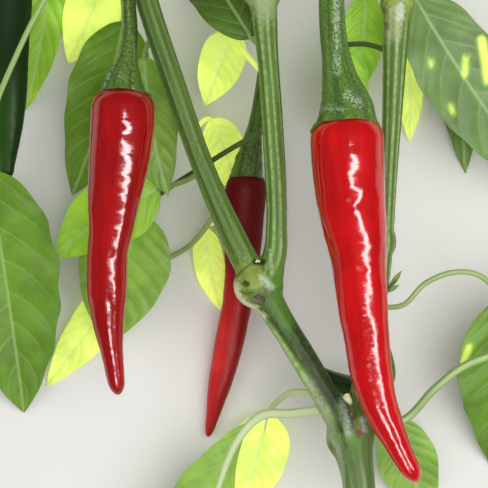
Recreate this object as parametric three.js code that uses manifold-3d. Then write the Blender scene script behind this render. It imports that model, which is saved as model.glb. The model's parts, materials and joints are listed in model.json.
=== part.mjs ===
// A fruiting branch of a chilli pepper plant, cut off and lying on a level surface.
// Millimetres. +X is to the right, +Y runs from the cut end to the tips, +Z is up.
// Every stem, fruit, calyx and leaf is a solid of its own. Where one grows from
// another, the younger one is cut clear of the older one by GAP.

import * as THREE from 'three';
import { mergeVertices } from 'three/addons/utils/BufferGeometryUtils.js';
import Module from 'manifold-3d';

const wasm = await Module();
wasm.setup();

// Driving sizes
const GAP = 0.3;
const CUT_END = [32.5, -75, 25];
const LOWER_FORK = [29.5, -53.5, 27.5];
const UPPER_FORK = [4, -11.5, 31.5];
const LEFT_TOP_FORK = [-31, 83, 32];
const MIDDLE_TOP_FORK = [5, 70, 33];
const RIGHT_TOP_FORK = [42.5, 67, 28];

const MAIN_STEM_RADIUS = 4.5;
const LOWER_STEM_RADIUS = 3.7;
const UPPER_STEM_RADIUS = 3.1;
const TWIG_RADIUS = 2.2;
const STALK_RADIUS = 0.75;       // of a leaf's stalk
const LEAF_THICKNESS = 0.9;
const LEAF_FOLD = 0.16;          // rise of each half of a blade for each mm from the midrib
const TIP_ON_GROUND = 1;         // height of the leaf tips that the branch rests on
const WIDE_LEAF = 16;            // from this width on, a blade has four faces across

const STEM_SIDES = 10;
const FRUIT_SIDES = 12;
const STALK_SIDES = 6;

// Half width of a fruit at even steps from calyx to tip, as a share of its widest,
// and the shares of its length that the round shoulder and the round tip take
const FRUIT_TAPER = [0.97, 1, 0.96, 0.87, 0.76, 0.68, 0.61, 0.54, 0.46, 0.35, 0.24];
const SHOULDER = 0.07;
const TIP = 0.05;

// How far a fruit stalk has widened to its calyx, at even steps
const CALYX_FLARE = [0.1, 0, 0, 0, 0.01, 0.03, 0.05, 0.1, 0.32, 0.7, 1];

const finish = {
  stem: new THREE.MeshStandardMaterial({ color: 0x5c8a3e, roughness: 0.5, metalness: 0 }),
  stalk: new THREE.MeshStandardMaterial({ color: 0x7aa653, roughness: 0.5, metalness: 0 }),
  calyx: new THREE.MeshStandardMaterial({ color: 0x54853a, roughness: 0.45, metalness: 0 }),
  ripe: new THREE.MeshStandardMaterial({ color: 0xb80f17, roughness: 0.18, metalness: 0 }),
  unripe: new THREE.MeshStandardMaterial({ color: 0x24501c, roughness: 0.2, metalness: 0 }),
  leaf: new THREE.MeshStandardMaterial({ color: 0x6f9f3c, roughness: 0.55, metalness: 0 }),
  youngLeaf: new THREE.MeshStandardMaterial({ color: 0xb9dc55, roughness: 0.55, metalness: 0 }),
};

const branch = new THREE.Group();
const carriers = {};

function vector(point) {
  return new THREE.Vector3(...point);
}

function smoothRoute(points) {
  return new THREE.CatmullRomCurve3(points.map(vector), false, 'centripetal');
}

// Value of a list at the share t of its length, with straight lines between its entries
function along(list, t) {
  const place = t * (list.length - 1);
  const index = Math.min(Math.floor(place), list.length - 2);
  return THREE.MathUtils.lerp(list[index], list[index + 1], place - index);
}

function toSolid(geometry) {
  geometry.deleteAttribute('normal');
  geometry.deleteAttribute('uv');
  const merged = mergeVertices(geometry);
  const mesh = new wasm.Mesh({
    numProp: 3,
    vertProperties: new Float32Array(merged.attributes.position.array),
    triVerts: new Uint32Array(merged.index.array),
  });
  return new wasm.Manifold(mesh);
}

function addPiece(name, solid, material) {
  const { vertProperties, triVerts } = solid.getMesh();
  const geometry = new THREE.BufferGeometry();
  geometry.setAttribute('position', new THREE.BufferAttribute(vertProperties, 3));
  geometry.setIndex(new THREE.BufferAttribute(triVerts, 1));
  geometry.computeVertexNormals();
  const mesh = new THREE.Mesh(geometry, material);
  mesh.name = name;
  branch.add(mesh);
}

// A round limb along a curve: a cylinder bent along it. It may be made larger all round
// by extra, and crowd its rings towards both ends by ease.
const FRAME_STEPS = 60;
function limb(curve, radiusAt, sides, steps, extra = 0, ease = 0) {
  const frames = curve.computeFrenetFrames(FRAME_STEPS, false);
  const geometry = new THREE.CylinderGeometry(1, 1, 1, sides, steps);
  const position = geometry.attributes.position;
  for (let i = 0; i < position.count; i++) {
    const even = Math.round((0.5 - position.getY(i)) * steps) / steps;
    const t = even - ease * Math.sin(2 * Math.PI * even) / (2 * Math.PI);
    const frame = Math.round(t * FRAME_STEPS);
    const radius = radiusAt(t) + extra;
    const point = curve.getPointAt(t);
    point.addScaledVector(frames.normals[frame], position.getX(i) * radius);
    point.addScaledVector(frames.binormals[frame], position.getZ(i) * radius);
    if (even === 0 || even === 1) point.addScaledVector(frames.tangents[frame], extra * (2 * even - 1));
    position.setXYZ(i, point.x, point.y, point.z);
  }
  return toSolid(geometry);
}

// The swelling where stems fork
function knuckle(centre, radii, extra = 0) {
  const geometry = new THREE.SphereGeometry(1, 12, 8);
  geometry.scale(radii[0] + extra, radii[1] + extra, radii[2] + extra);
  geometry.translate(...centre);
  return toSolid(geometry);
}

function clearOf(solid, names) {
  return names.reduce((rest, name) => rest.subtract(carriers[name]), solid);
}

// A stem with its swelling at the far end. What grows from it is cut by its carrier.
function addStem(name, { points, radii, swelling, foot, on = [] }) {
  const curve = smoothRoute(points);
  const steps = Math.max(3, Math.round(curve.getLength() / 11));
  const shape = (extra) => {
    const stem = limb(curve, (t) => along(radii, t), STEM_SIDES, steps, extra);
    return swelling ? stem.add(knuckle(points.at(-1), swelling, extra)) : stem;
  };
  carriers[name] = shape(GAP);
  const solid = clearOf(shape(0), on);
  addPiece(name, foot ? solid.subtract(foot) : solid, finish.stem);
}

function fruitShare(t) {
  const shoulder = Math.sqrt(1 - Math.max(0, 1 - t / SHOULDER) ** 2);
  const tip = Math.sqrt(1 - Math.max(0, 1 - (1 - t) / TIP) ** 2);
  return Math.max(0.05, along(FRUIT_TAPER, t) * shoulder * tip);
}

// A fruit, and the stalk and calyx that it hangs from, with the calyx over its shoulder
function addFruit(name, { points, radius, stalk, pedicel, calyx, on, colour = finish.ripe }) {
  const curve = smoothRoute(points);
  const steps = Math.max(9, Math.round(curve.getLength() / 6));
  const body = (extra) => limb(curve, (t) => fruitShare(t) * radius, FRUIT_SIDES, steps, extra, 0.7);
  addPiece(name, body(0), colour);
  const route = smoothRoute(stalk);
  const stalkSteps = Math.max(7, Math.round(route.getLength() / 5.5));
  const widen = (t) => pedicel + (calyx - pedicel) * along(CALYX_FLARE, t);
  const cap = limb(route, widen, STEM_SIDES, stalkSteps).subtract(body(GAP * 1.5));
  addPiece(`${name}_calyx`, clearOf(cap, on), finish.calyx);
}

// Half width of a blade at the share t of its length, as a share of its width. The larger
// neck is, the more slowly the blade widens from its stalk.
const LEAF_POINT = 0.9;
function leafOutline(t, neck) {
  const widest = neck / (neck + LEAF_POINT);
  const spread = (share) => share ** neck * (1 - share) ** LEAF_POINT;
  return 0.5 * spread(t) / spread(widest);
}

function bladeCurve({ base, tip, bow = [0, 0, 0] }) {
  const start = vector(base);
  const end = vector(tip);
  const middle = start.clone().lerp(end, 0.5).addScaledVector(vector(bow), 2);
  return new THREE.QuadraticBezierCurve3(start, middle, end);
}

// A leaf blade: a flat box bent along the midrib, cut in to the outline and folded along it
function blade(curve, { width, roll = 0, fold = LEAF_FOLD, neck = 0.55 }) {
  const steps = Math.max(4, Math.round(curve.getLength() / 8.5));
  const geometry = new THREE.BoxGeometry(1, 1, 1, width > WIDE_LEAF ? 4 : 2, 1, steps);
  const position = geometry.attributes.position;
  for (let i = 0; i < position.count; i++) {
    const t = position.getZ(i) + 0.5;
    const tangent = curve.getTangentAt(t);
    const side = new THREE.Vector3(0, 0, 1).cross(tangent).normalize();
    side.applyAxisAngle(tangent, roll);
    const face = new THREE.Vector3().crossVectors(tangent, side);
    const reach = position.getX(i) * 2 * Math.max(leafOutline(t, neck) * width, LEAF_THICKNESS / 2);
    const rise = Math.abs(reach) * fold + position.getY(i) * LEAF_THICKNESS;
    const point = curve.getPointAt(t).addScaledVector(side, reach).addScaledVector(face, rise);
    position.setXYZ(i, point.x, point.y, point.z);
  }
  return toSolid(geometry);
}

// A stalk from its stem to the blade, or a little way into the blade
function stalkTo(curve, { from, via = [], base, stalkRadius = STALK_RADIUS }, inside, extra = 0) {
  const rib = inside.map((share) => curve.getPointAt(share).toArray());
  const route = smoothRoute([from, ...via, base, ...rib]);
  const steps = Math.max(3, Math.round(route.getLength() / 7));
  const radii = [1.25, 1, 1, 1, 0.8].map((share) => share * stalkRadius);
  return limb(route, (t) => along(radii, t), STALK_SIDES, steps, extra);
}

function leafSolid(shape) {
  const curve = bladeCurve(shape);
  return blade(curve, shape).add(stalkTo(curve, shape, [0.06, 0.2]));
}

function addLeaf(name, { on, colour = finish.leaf, ...shape }) {
  addPiece(name, clearOf(leafSolid(shape), on), colour);
}

// A leaf on a long stalk that bends: stalk and blade are pieces of their own
function addStalkedLeaf(name, { on, colour = finish.leaf, ...shape }) {
  const curve = bladeCurve(shape);
  addPiece(`${name}_stalk`, clearOf(stalkTo(curve, shape, []), on), finish.stalk);
  addPiece(name, blade(curve, shape).subtract(stalkTo(curve, shape, [], GAP)), colour);
}

// Young leaves round the end of a twig, turned from one to the next by the golden angle
const GOLDEN_ANGLE = THREE.MathUtils.degToRad(137.5);
function addShoot(name, { end, heading, count, length, on }) {
  const ahead = vector(heading).normalize();
  const side = new THREE.Vector3(0, 0, 1).cross(ahead).normalize();
  const lift = new THREE.Vector3().crossVectors(ahead, side);
  const root = vector(end);
  const point = (forward, out = new THREE.Vector3()) => (
    root.clone().addScaledVector(ahead, forward).add(out).toArray());
  let solid = limb(smoothRoute([end, point(9)]), (t) => 1.4 - 0.5 * t, STALK_SIDES, 2);
  for (let i = 0; i < count; i++) {
    const turn = i * GOLDEN_ANGLE + 0.5;
    const size = length * (1 - 0.16 * i);
    const spread = side.clone().multiplyScalar(Math.cos(turn)).addScaledVector(lift, 0.35 * Math.sin(turn));
    const leaf = {
      base: point(5.5, spread), tip: point(6 + size * 0.72, spread.clone().multiplyScalar(4 + size * 0.6)),
      bow: [0, 0, 2], width: size * 0.42, neck: 0.9,
    };
    solid = solid.add(blade(bladeCurve(leaf), leaf));
  }
  addPiece(name, clearOf(solid, on), finish.youngLeaf);
}

// The cut across the foot of the main stem is square to Y
const sawCut = new THREE.BoxGeometry(20, 10, 20);
sawCut.translate(CUT_END[0], CUT_END[1] - 5, CUT_END[2]);

// Stems, from the cut end upwards
addStem('main_stem', {
  points: [[CUT_END[0], CUT_END[1] - 2, CUT_END[2]], [32, -66, 26], LOWER_FORK],
  radii: [MAIN_STEM_RADIUS, MAIN_STEM_RADIUS, MAIN_STEM_RADIUS * 1.1, MAIN_STEM_RADIUS * 1.4],
  swelling: [6.8, 7.4, 6],
  foot: toSolid(sawCut),
});
addStem('lower_left_stem', {
  points: [LOWER_FORK, [23.5, -43.5, 28.5], [15.5, -30, 30], UPPER_FORK],
  radii: [4.8, LOWER_STEM_RADIUS, LOWER_STEM_RADIUS, LOWER_STEM_RADIUS, 5],
  swelling: [7, 6.6, 5.6],
  on: ['main_stem'],
});
addStem('upper_left_stem', {
  points: [UPPER_FORK, [-2, 0, 31.5], [-11, 20.5, 31.5], [-20.3, 47, 32], [-26.8, 67, 32], LEFT_TOP_FORK],
  radii: [UPPER_STEM_RADIUS * 1.3, UPPER_STEM_RADIUS, UPPER_STEM_RADIUS, UPPER_STEM_RADIUS],
  swelling: [4.4, 5, 4.2],
  on: ['lower_left_stem'],
});
addStem('middle_stem', {
  points: [UPPER_FORK, [8.2, -4, 32], [9, 6, 32.5], [8, 30, 33], MIDDLE_TOP_FORK],
  radii: [4.2, 2.9, 2.9, 2.9, 3, 4.2],
  swelling: [5.8, 6.2, 4.8],
  on: ['lower_left_stem', 'upper_left_stem'],
});
addStem('right_stem', {
  points: [LOWER_FORK, [32.8, -40, 25.5], [36, -24, 24], [38.7, -8, 24.2], [40.4, 20, 25.7],
    RIGHT_TOP_FORK],
  radii: [3.4, 2.5, 2.2, 2.3, 3, 4],
  swelling: [4.8, 5, 4.2],
  on: ['main_stem', 'lower_left_stem'],
});

// Branches above the upper forks
const twigRadii = [1.25, 1, 0.85].map((share) => share * TWIG_RADIUS);
const thinTwigRadii = twigRadii.map((radius) => radius * 0.75);
addStem('top_left_branch', {
  points: [LEFT_TOP_FORK, [-38.5, 92, 31], [-47.5, 98.5, 30], [-57.5, 107, 29]],
  radii: twigRadii, swelling: [2.4, 2.4, 2.4], on: ['upper_left_stem'],
});
addStem('top_left_twig', {
  points: [LEFT_TOP_FORK, [-26.5, 92, 32], [-23.5, 101.5, 32]],
  radii: thinTwigRadii, on: ['upper_left_stem', 'top_left_branch'],
});
addStem('top_middle_branch', {
  points: [MIDDLE_TOP_FORK, [11, 79, 35], [17, 88, 37], [20.5, 95.5, 38]],
  radii: [2.8, 2.4, 3.2], swelling: [4.8, 4.8, 4.6], on: ['middle_stem'],
});
addStem('top_middle_twig', {
  points: [MIDDLE_TOP_FORK, [1, 79.5, 33], [-1, 89.5, 32]],
  radii: thinTwigRadii, on: ['middle_stem', 'top_middle_branch'],
});
addStem('top_right_inner_twig', {
  points: [RIGHT_TOP_FORK, [36.5, 76, 28], [32.5, 85.5, 28]],
  radii: thinTwigRadii, on: ['right_stem'],
});
addStem('top_right_outer_twig', {
  points: [RIGHT_TOP_FORK, [48.5, 77.5, 28], [51.5, 88.5, 27.5]],
  radii: twigRadii, on: ['right_stem', 'top_right_inner_twig'],
});

// The pale stub that a fallen flower left at the lower fork
addStem('flower_stub', {
  points: [[29.2, -49, 31.5], [28.8, -45, 33], [28.5, -41.8, 34]],
  radii: [1.3, 1, 1.1], on: ['main_stem', 'lower_left_stem', 'right_stem'],
});

// Fruits
addFruit('right_fruit', {
  points: [[27.5, 36, 44], [28.5, 14.5, 43.5], [31, -3, 42.5], [33, -22, 40.5], [36.5, -42, 37.5],
    [42.6, -56, 35], [47.8, -65.4, 33]],
  radius: 9.9, pedicel: 3.3, calyx: 8.4,
  stalk: [[20.5, 95.5, 38], [23, 85, 41], [23.5, 71.5, 43], [24, 57.5, 44], [25.5, 46, 44], [27.3, 34, 44]],
  on: ['top_middle_branch'],
});
addFruit('left_fruit', {
  points: [[-33, 43.5, 37], [-33.5, 28.5, 37], [-35.5, 13.5, 36], [-37.5, -4.5, 34], [-37.5, -21, 31],
    [-35, -42, 26]],
  radius: 8.8, pedicel: 1.8, calyx: 6.6,
  stalk: [LEFT_TOP_FORK, [-32, 75, 34.5], [-31.5, 66.5, 36], [-31.2, 55.5, 37], [-33, 39.5, 37]],
  on: ['upper_left_stem', 'top_left_branch', 'top_left_twig'],
});
addFruit('middle_fruit', {
  points: [[1, 21, 14], [-0.3, 5.5, 12], [-0.5, -6, 9.5], [-2.1, -17.5, 7.5], [-5.1, -30.5, 5],
    [-10.5, -56, 2]],
  radius: 6, pedicel: 1.6, calyx: 4.6,
  stalk: [MIDDLE_TOP_FORK, [7.3, 63, 25], [6, 52, 19.5], [4, 38, 16], [1, 18.5, 13.8]],
  on: ['middle_stem', 'top_middle_branch', 'top_middle_twig'],
});
addFruit('green_fruit', {
  points: [[-67.5, 76, 19], [-66.5, 57.5, 18], [-66, 41, 17], [-67.5, 18, 15]],
  radius: 7, pedicel: 1.9, calyx: 5.4,
  stalk: [[-57.5, 107, 29], [-63, 99, 25], [-66.5, 88.5, 20], [-67.5, 73.5, 19]],
  on: ['top_left_branch'], colour: finish.unripe,
});
addFruit('young_fruit', {
  points: [[36, -42, 13.5], [30, -40.8, 13], [25, -38.8, 12.7], [18.5, -35, 12.5]],
  radius: 4.3, pedicel: 1.1, calyx: 3.4,
  stalk: [[36.5, -23, 24], [40.5, -31, 21], [41.2, -39, 15.5], [34.8, -41.7, 13.5]],
  on: ['right_stem'], colour: finish.unripe,
});

// Leaves, from the top left round to the bottom
addStalkedLeaf('leaf_left', {
  on: ['top_left_branch'], from: [-42, 95, 30.5], via: [[-48, 81, 30.5], [-61.5, 56, 28], [-71.5, 32, 23]],
  base: [-72, 20.5, 20], tip: [-64, -49, TIP_ON_GROUND], bow: [1, 0, 5], width: 31, stalkRadius: 0.8,
});
addLeaf('leaf_behind_left_fruit', {
  on: ['upper_left_stem', 'top_left_branch'], from: LEFT_TOP_FORK, via: [[-34, 76.5, 25]],
  base: [-34, 63, 18], tip: [-49, 14, 12], bow: [1.5, 0, 2], width: 22,
});
addLeaf('leaf_behind_upper_stem', {
  on: ['upper_left_stem'], from: [-24, 60, 32],
  base: [-28, 52.5, 23], tip: [-21.5, 13.5, 18], bow: [-1, 0, 2], width: 15,
});
addLeaf('leaf_bright_left', {
  on: ['upper_left_stem'], from: [-11, 20.5, 31.5], via: [[-16, 18, 21]],
  base: [-24, 15.5, 14], tip: [-53.5, -4, 12.5], bow: [-1, 2, 1], width: 20,
});
addStalkedLeaf('leaf_below_left_fruit', {
  on: ['middle_stem'], from: [7.5, 32.5, 33], via: [[-8, 24, 22]],
  base: [-30, 9, 8.5], tip: [-39.5, -29, 5.5], bow: [0, 2, 1], width: 26,
});
addStalkedLeaf('leaf_sunlit_low', {
  on: ['upper_left_stem'], from: [-7, 10, 31.5], via: [[-13, 2, 15], [-18, -2, 4.5]],
  base: [-33.5, -10, 2.5], tip: [-57.5, -41.5, TIP_ON_GROUND], bow: [0, 0, 1], width: 13,
  colour: finish.youngLeaf,
});
addLeaf('leaf_sunlit_top', {
  on: ['upper_left_stem', 'top_left_branch'], from: LEFT_TOP_FORK,
  base: [-38.5, 80, 15], tip: [-50.5, 52, 8], bow: [1, 0, 1], width: 17, colour: finish.youngLeaf,
});
addLeaf('leaf_by_green_fruit', {
  on: ['top_left_branch'], from: [-47.5, 98.5, 30],
  base: [-55.5, 86.5, 13], tip: [-63.5, 39, TIP_ON_GROUND], bow: [2, 0, 2], width: 12,
});
addLeaf('leaf_top_centre', {
  on: ['middle_stem'], from: [6.5, 53.5, 33],
  base: [2, 57, 29], tip: [-15.5, 86, TIP_ON_GROUND], bow: [0, 0, 7], width: 18,
});
addLeaf('leaf_sunlit_centre', {
  on: ['middle_stem'], from: [7, 45, 33], via: [[-1, 55.5, 21]],
  base: [-3, 60.5, 17], tip: [-11, 39.5, 12.5], width: 13, colour: finish.youngLeaf,
});
addLeaf('leaf_sunlit_middle', {
  on: ['upper_left_stem'], from: [-15, 30.5, 31.3],
  base: [-9.5, 35.5, 11], tip: [-2.5, 14, 3], bow: [1, 1, 0], width: 12, colour: finish.youngLeaf,
});
addLeaf('leaf_sunlit_small', {
  on: ['upper_left_stem'], from: [-5, 6, 31.5],
  base: [-11, 4.5, 6.5], tip: [-6.5, -19.5, 1.5], bow: [-1, 0, -1], width: 9, colour: finish.youngLeaf,
});
addLeaf('leaf_top_right_bright', {
  on: ['top_right_inner_twig', 'right_stem'], from: [36.5, 76, 28],
  base: [34.5, 71.5, 14], tip: [31, 41.5, 8], bow: [1, 0, 1], width: 12, colour: finish.youngLeaf,
});
addLeaf('leaf_behind_calyx', {
  on: ['right_stem'], from: [41, 53.5, 27.5], via: [[33, 56, 23]],
  base: [26.5, 55, 19], tip: [34, 30, 9], bow: [-1, 0, 2], width: 13,
});
addLeaf('leaf_upper_right', {
  on: ['top_right_outer_twig', 'right_stem'], from: [48.5, 78, 28],
  base: [47, 70, 25], tip: [87, 15.5, 10], bow: [-1, -2, 3], width: 24,
});
addLeaf('leaf_sunlit_right', {
  on: ['right_stem'], from: [42, 61.5, 28],
  base: [47, 58, 9], tip: [48, 29.5, 2], bow: [0.5, 0, 0], width: 8, colour: finish.youngLeaf,
});
addLeaf('leaf_tip_right', {
  on: ['right_stem'], from: [43.5, 68, 26.5], via: [[47.5, 66, 17]],
  base: [57, 64, 11], tip: [64.5, 20.5, TIP_ON_GROUND], bow: [1, 0, 0], width: 12,
});
addStalkedLeaf('leaf_right', {
  on: ['right_stem'], from: [37.3, -17.7, 24],
  via: [[44.3, -17, 26], [50.4, -11, 26.5], [58, -7.9, 27], [65.2, -8.6, 26]],
  base: [72, -15, 22], tip: [72, -64.5, TIP_ON_GROUND], bow: [3.7, 0, 3], width: 30,
});
addStalkedLeaf('leaf_far_right', {
  on: ['main_stem', 'right_stem'], from: LOWER_FORK,
  via: [[45, -49, 24], [53, -40.6, 25], [60.5, -34.5, 25.6], [68, -31.3, 26]],
  base: [79, -29, 27], tip: [114, -14, 6], bow: [0, 0, 4], width: 24, stalkRadius: 1.15,
});
addLeaf('leaf_lower_right', {
  on: ['main_stem'], from: [30, -54.5, 27], via: [[36, -55, 17]],
  base: [43.5, -50, 9], tip: [54.5, -80, TIP_ON_GROUND], bow: [-1, 0, 0], width: 17,
});
addStalkedLeaf('leaf_bottom', {
  on: ['lower_left_stem', 'main_stem'], from: [24.5, -45.5, 28.3], via: [[13.5, -47.5, 22]],
  base: [5, -48.3, 20], tip: [-12, -102, 15], bow: [-2.8, 9.6, 1], width: 24, roll: -0.6, fold: -0.7,
  neck: 1.6, stalkRadius: 1.15,
});
addStalkedLeaf('leaf_under_bottom', {
  on: ['lower_left_stem', 'main_stem'], from: [22.5, -42, 28.6], via: [[13.5, -42, 18]],
  base: [7, -49, 5], tip: [-1, -78, TIP_ON_GROUND], bow: [0.5, 0, 0], width: 17, colour: finish.youngLeaf,
  stalkRadius: 0.9,
});

// Young leaves at the tips of the branches
addShoot('top_left_shoot', {
  end: [-57.5, 107, 29], heading: [-0.5, 0.8, -0.2], count: 3, length: 26, on: ['top_left_branch'],
});
addShoot('top_left_twig_shoot', {
  end: [-23.5, 101.5, 32], heading: [0.1, 0.9, -0.4], count: 3, length: 22, on: ['top_left_twig'],
});
addShoot('top_middle_shoot', {
  end: [20.5, 95.5, 38], heading: [0.3, 0.9, -0.3], count: 3, length: 26, on: ['top_middle_branch'],
});
addShoot('top_middle_twig_shoot', {
  end: [-1, 89.5, 32], heading: [-0.1, 0.9, -0.5], count: 2, length: 20, on: ['top_middle_twig'],
});
addShoot('top_right_inner_shoot', {
  end: [32.5, 85.5, 28], heading: [-0.1, 0.9, -0.5], count: 2, length: 20, on: ['top_right_inner_twig'],
});
addShoot('top_right_outer_shoot', {
  end: [51.5, 88.5, 27.5], heading: [0.4, 0.9, -0.3], count: 3, length: 26, on: ['top_right_outer_twig'],
});

// The bud shoot at the leaf joint of the right stem
addLeaf('bud_shoot', {
  on: ['right_stem'], from: [37.6, -14.5, 24],
  base: [41, -12, 26], tip: [44.5, -6.5, 27.5], width: 3,
});

// The ground is level with the lowest leaf tips, and the origin lies on it under the middle
const bounds = new THREE.Box3().setFromObject(branch);
const middle = bounds.getCenter(new THREE.Vector3());
branch.position.set(-middle.x, -middle.y, -bounds.min.z);

export default branch;
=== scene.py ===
"""A cut fruiting branch of a chilli pepper plant, dressed around its packed solids.

Routes and sizes are millimetres in the branch's own layout, which ORIGIN sets in the row
frame. +Y runs from the cut end to the tips, +X is to the right and +Z is up. An angle round
a limb starts at its side and passes over its top: on a limb that runs along +Y, 0 is its left,
90 its top and 180 its right, and on one that runs along -Y, such as a fruit, 0 is its right.
"""

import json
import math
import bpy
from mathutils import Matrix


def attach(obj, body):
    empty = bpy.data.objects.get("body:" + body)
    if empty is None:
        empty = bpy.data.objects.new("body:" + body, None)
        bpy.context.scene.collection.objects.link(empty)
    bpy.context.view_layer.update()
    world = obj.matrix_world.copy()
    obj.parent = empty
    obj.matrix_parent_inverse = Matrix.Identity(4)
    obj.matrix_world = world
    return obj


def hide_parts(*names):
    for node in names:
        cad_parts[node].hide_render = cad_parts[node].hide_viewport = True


bl_info = {
    "name": "Chilli Pepper Branch",
    "version": (1, 0, 0),
    "blender": (4, 5, 0),
    "location": "3D View > Sidebar > Branch",
    "description": "Stems, fruits, calyxes and leaves of a fruiting chilli pepper branch",
    "category": "Object",
}

import bpy
import numpy as np
from bpy.props import FloatProperty, FloatVectorProperty, PointerProperty
from mathutils import Vector
from mathutils.kdtree import KDTree

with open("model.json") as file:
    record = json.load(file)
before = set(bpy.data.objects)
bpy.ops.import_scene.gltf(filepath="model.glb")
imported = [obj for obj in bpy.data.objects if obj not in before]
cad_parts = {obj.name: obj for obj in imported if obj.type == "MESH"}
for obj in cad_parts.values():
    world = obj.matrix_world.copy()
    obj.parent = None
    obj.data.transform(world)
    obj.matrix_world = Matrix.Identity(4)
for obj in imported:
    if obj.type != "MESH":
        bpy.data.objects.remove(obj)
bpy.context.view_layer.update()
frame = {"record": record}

# Layout
MM = 0.001
CUT_END = (32.5, -75, 25)
LOWER_FORK = (29.5, -53.5, 27.5)
UPPER_FORK = (4, -11.5, 31.5)
LEFT_TOP_FORK = (-31, 83, 32)
MIDDLE_TOP_FORK = (5, 70, 33)
RIGHT_TOP_FORK = (42.5, 67, 28)
ORIGIN = np.array(frame["record"]["mounts"][0]["pos_m"]) - np.array(CUT_END) * MM
GROUND = -ORIGIN[2] / MM
CLEAR_OF_GROUND = 0.05
TINY = 1e-9

# Stems: route, radii at even steps, radii of the swelling at the far end, paleness of the
# ribs, bands of pale and deep green as (from angle, to angle, strength) halfway along, and
# how far the bands turn, in degrees for each mm. The bands are partly the stems' own stripes
# and partly painted light on their lit sides and painted shade on their shaded sides.
TWIG_RADII = (2.75, 2.2, 1.9)
THIN_TWIG_RADII = (2.05, 1.65, 1.4)
STEMS = {
    "main_stem": dict(
        points=[(32.5, -77, 25), (32, -66, 26), LOWER_FORK], radii=(4.5, 4.5, 4.95, 6.3),
        swelling=(6.8, 7.4, 6), ribs=0.3,
        pale=((8, 26, 0.8), (56, 66, 0.65), (102, 111, 0.85), (156, 172, 0.5)),
        deep=((30, 52, 0.15), (74, 87, 0.6), (114, 125, 1), (122, 152, 0.45))),
    "lower_left_stem": dict(
        points=[LOWER_FORK, (23.5, -43.5, 28.5), (15.5, -30, 30), UPPER_FORK],
        radii=(4.8, 3.7, 3.7, 3.7, 5), swelling=(7, 6.6, 5.6), ribs=0.25, turn=1.25,
        pale=((-40, 58, 1),), deep=((70, 150, 1), (120, 220, 1))),
    "upper_left_stem": dict(
        points=[UPPER_FORK, (-2, 0, 31.5), (-11, 20.5, 31.5), (-20.3, 47, 32), (-26.8, 67, 32),
                LEFT_TOP_FORK],
        radii=(4.03, 3.1, 3.1, 3.1), swelling=(4.4, 5, 4.2), ribs=0.45,
        pale=((-10, 26, 0.65),),
        deep=((30, 200, 0.36), (52, 62, 0.75), (110, 120, 0.4), (146, 200, 0.6))),
    "middle_stem": dict(
        points=[UPPER_FORK, (8.2, -4, 32), (9, 6, 32.5), (8, 30, 33), MIDDLE_TOP_FORK],
        radii=(4.2, 2.9, 2.9, 2.9, 3, 4.2), swelling=(5.8, 6.2, 4.8), ribs=0.7,
        pale=((68, 78, 0.4),), deep=((44, 58, 0.35), (88, 100, 0.4), (150, 200, 0.5))),
    "right_stem": dict(
        points=[LOWER_FORK, (32.8, -40, 25.5), (36, -24, 24), (38.7, -8, 24.2),
                (40.4, 20, 25.7), RIGHT_TOP_FORK],
        radii=(3.4, 2.5, 2.2, 2.3, 3, 4), swelling=(4.8, 5, 4.2), ribs=0.8,
        pale=((92, 102, 0.45), (140, 148, 0.35)),
        deep=((66, 84, 0.45), (112, 128, 0.4), (155, 200, 0.5))),
    "top_left_branch": dict(
        points=[LEFT_TOP_FORK, (-38.5, 92, 31), (-47.5, 98.5, 30), (-57.5, 107, 29)],
        radii=TWIG_RADII, swelling=(2.4, 2.4, 2.4), ribs=0.5, pale=(), deep=()),
    "top_left_twig": dict(
        points=[LEFT_TOP_FORK, (-26.5, 92, 32), (-23.5, 101.5, 32)], radii=THIN_TWIG_RADII,
        ribs=0.5, pale=(), deep=()),
    "top_middle_branch": dict(
        points=[MIDDLE_TOP_FORK, (11, 79, 35), (17, 88, 37), (20.5, 95.5, 38)],
        radii=(2.8, 2.4, 3.2), swelling=(4.8, 4.8, 4.6), ribs=0.5, pale=(), deep=()),
    "top_middle_twig": dict(
        points=[MIDDLE_TOP_FORK, (1, 79.5, 33), (-1, 89.5, 32)], radii=THIN_TWIG_RADII,
        ribs=0.5, pale=(), deep=()),
    "top_right_inner_twig": dict(
        points=[RIGHT_TOP_FORK, (36.5, 76, 28), (32.5, 85.5, 28)], radii=THIN_TWIG_RADII,
        ribs=0.5, pale=(), deep=()),
    "top_right_outer_twig": dict(
        points=[RIGHT_TOP_FORK, (48.5, 77.5, 28), (51.5, 88.5, 27.5)], radii=TWIG_RADII,
        ribs=0.5, pale=(), deep=()),
}
RIB_COUNT = 9

# Swellings beside the forks, as their middle and radii
SIDE_SWELLINGS = (((39.9, 0.6, 24.8), (2.6, 4.6, 2.6)), ((8.1, -7, 31.6), (3.1, 6, 3.4)))
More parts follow.
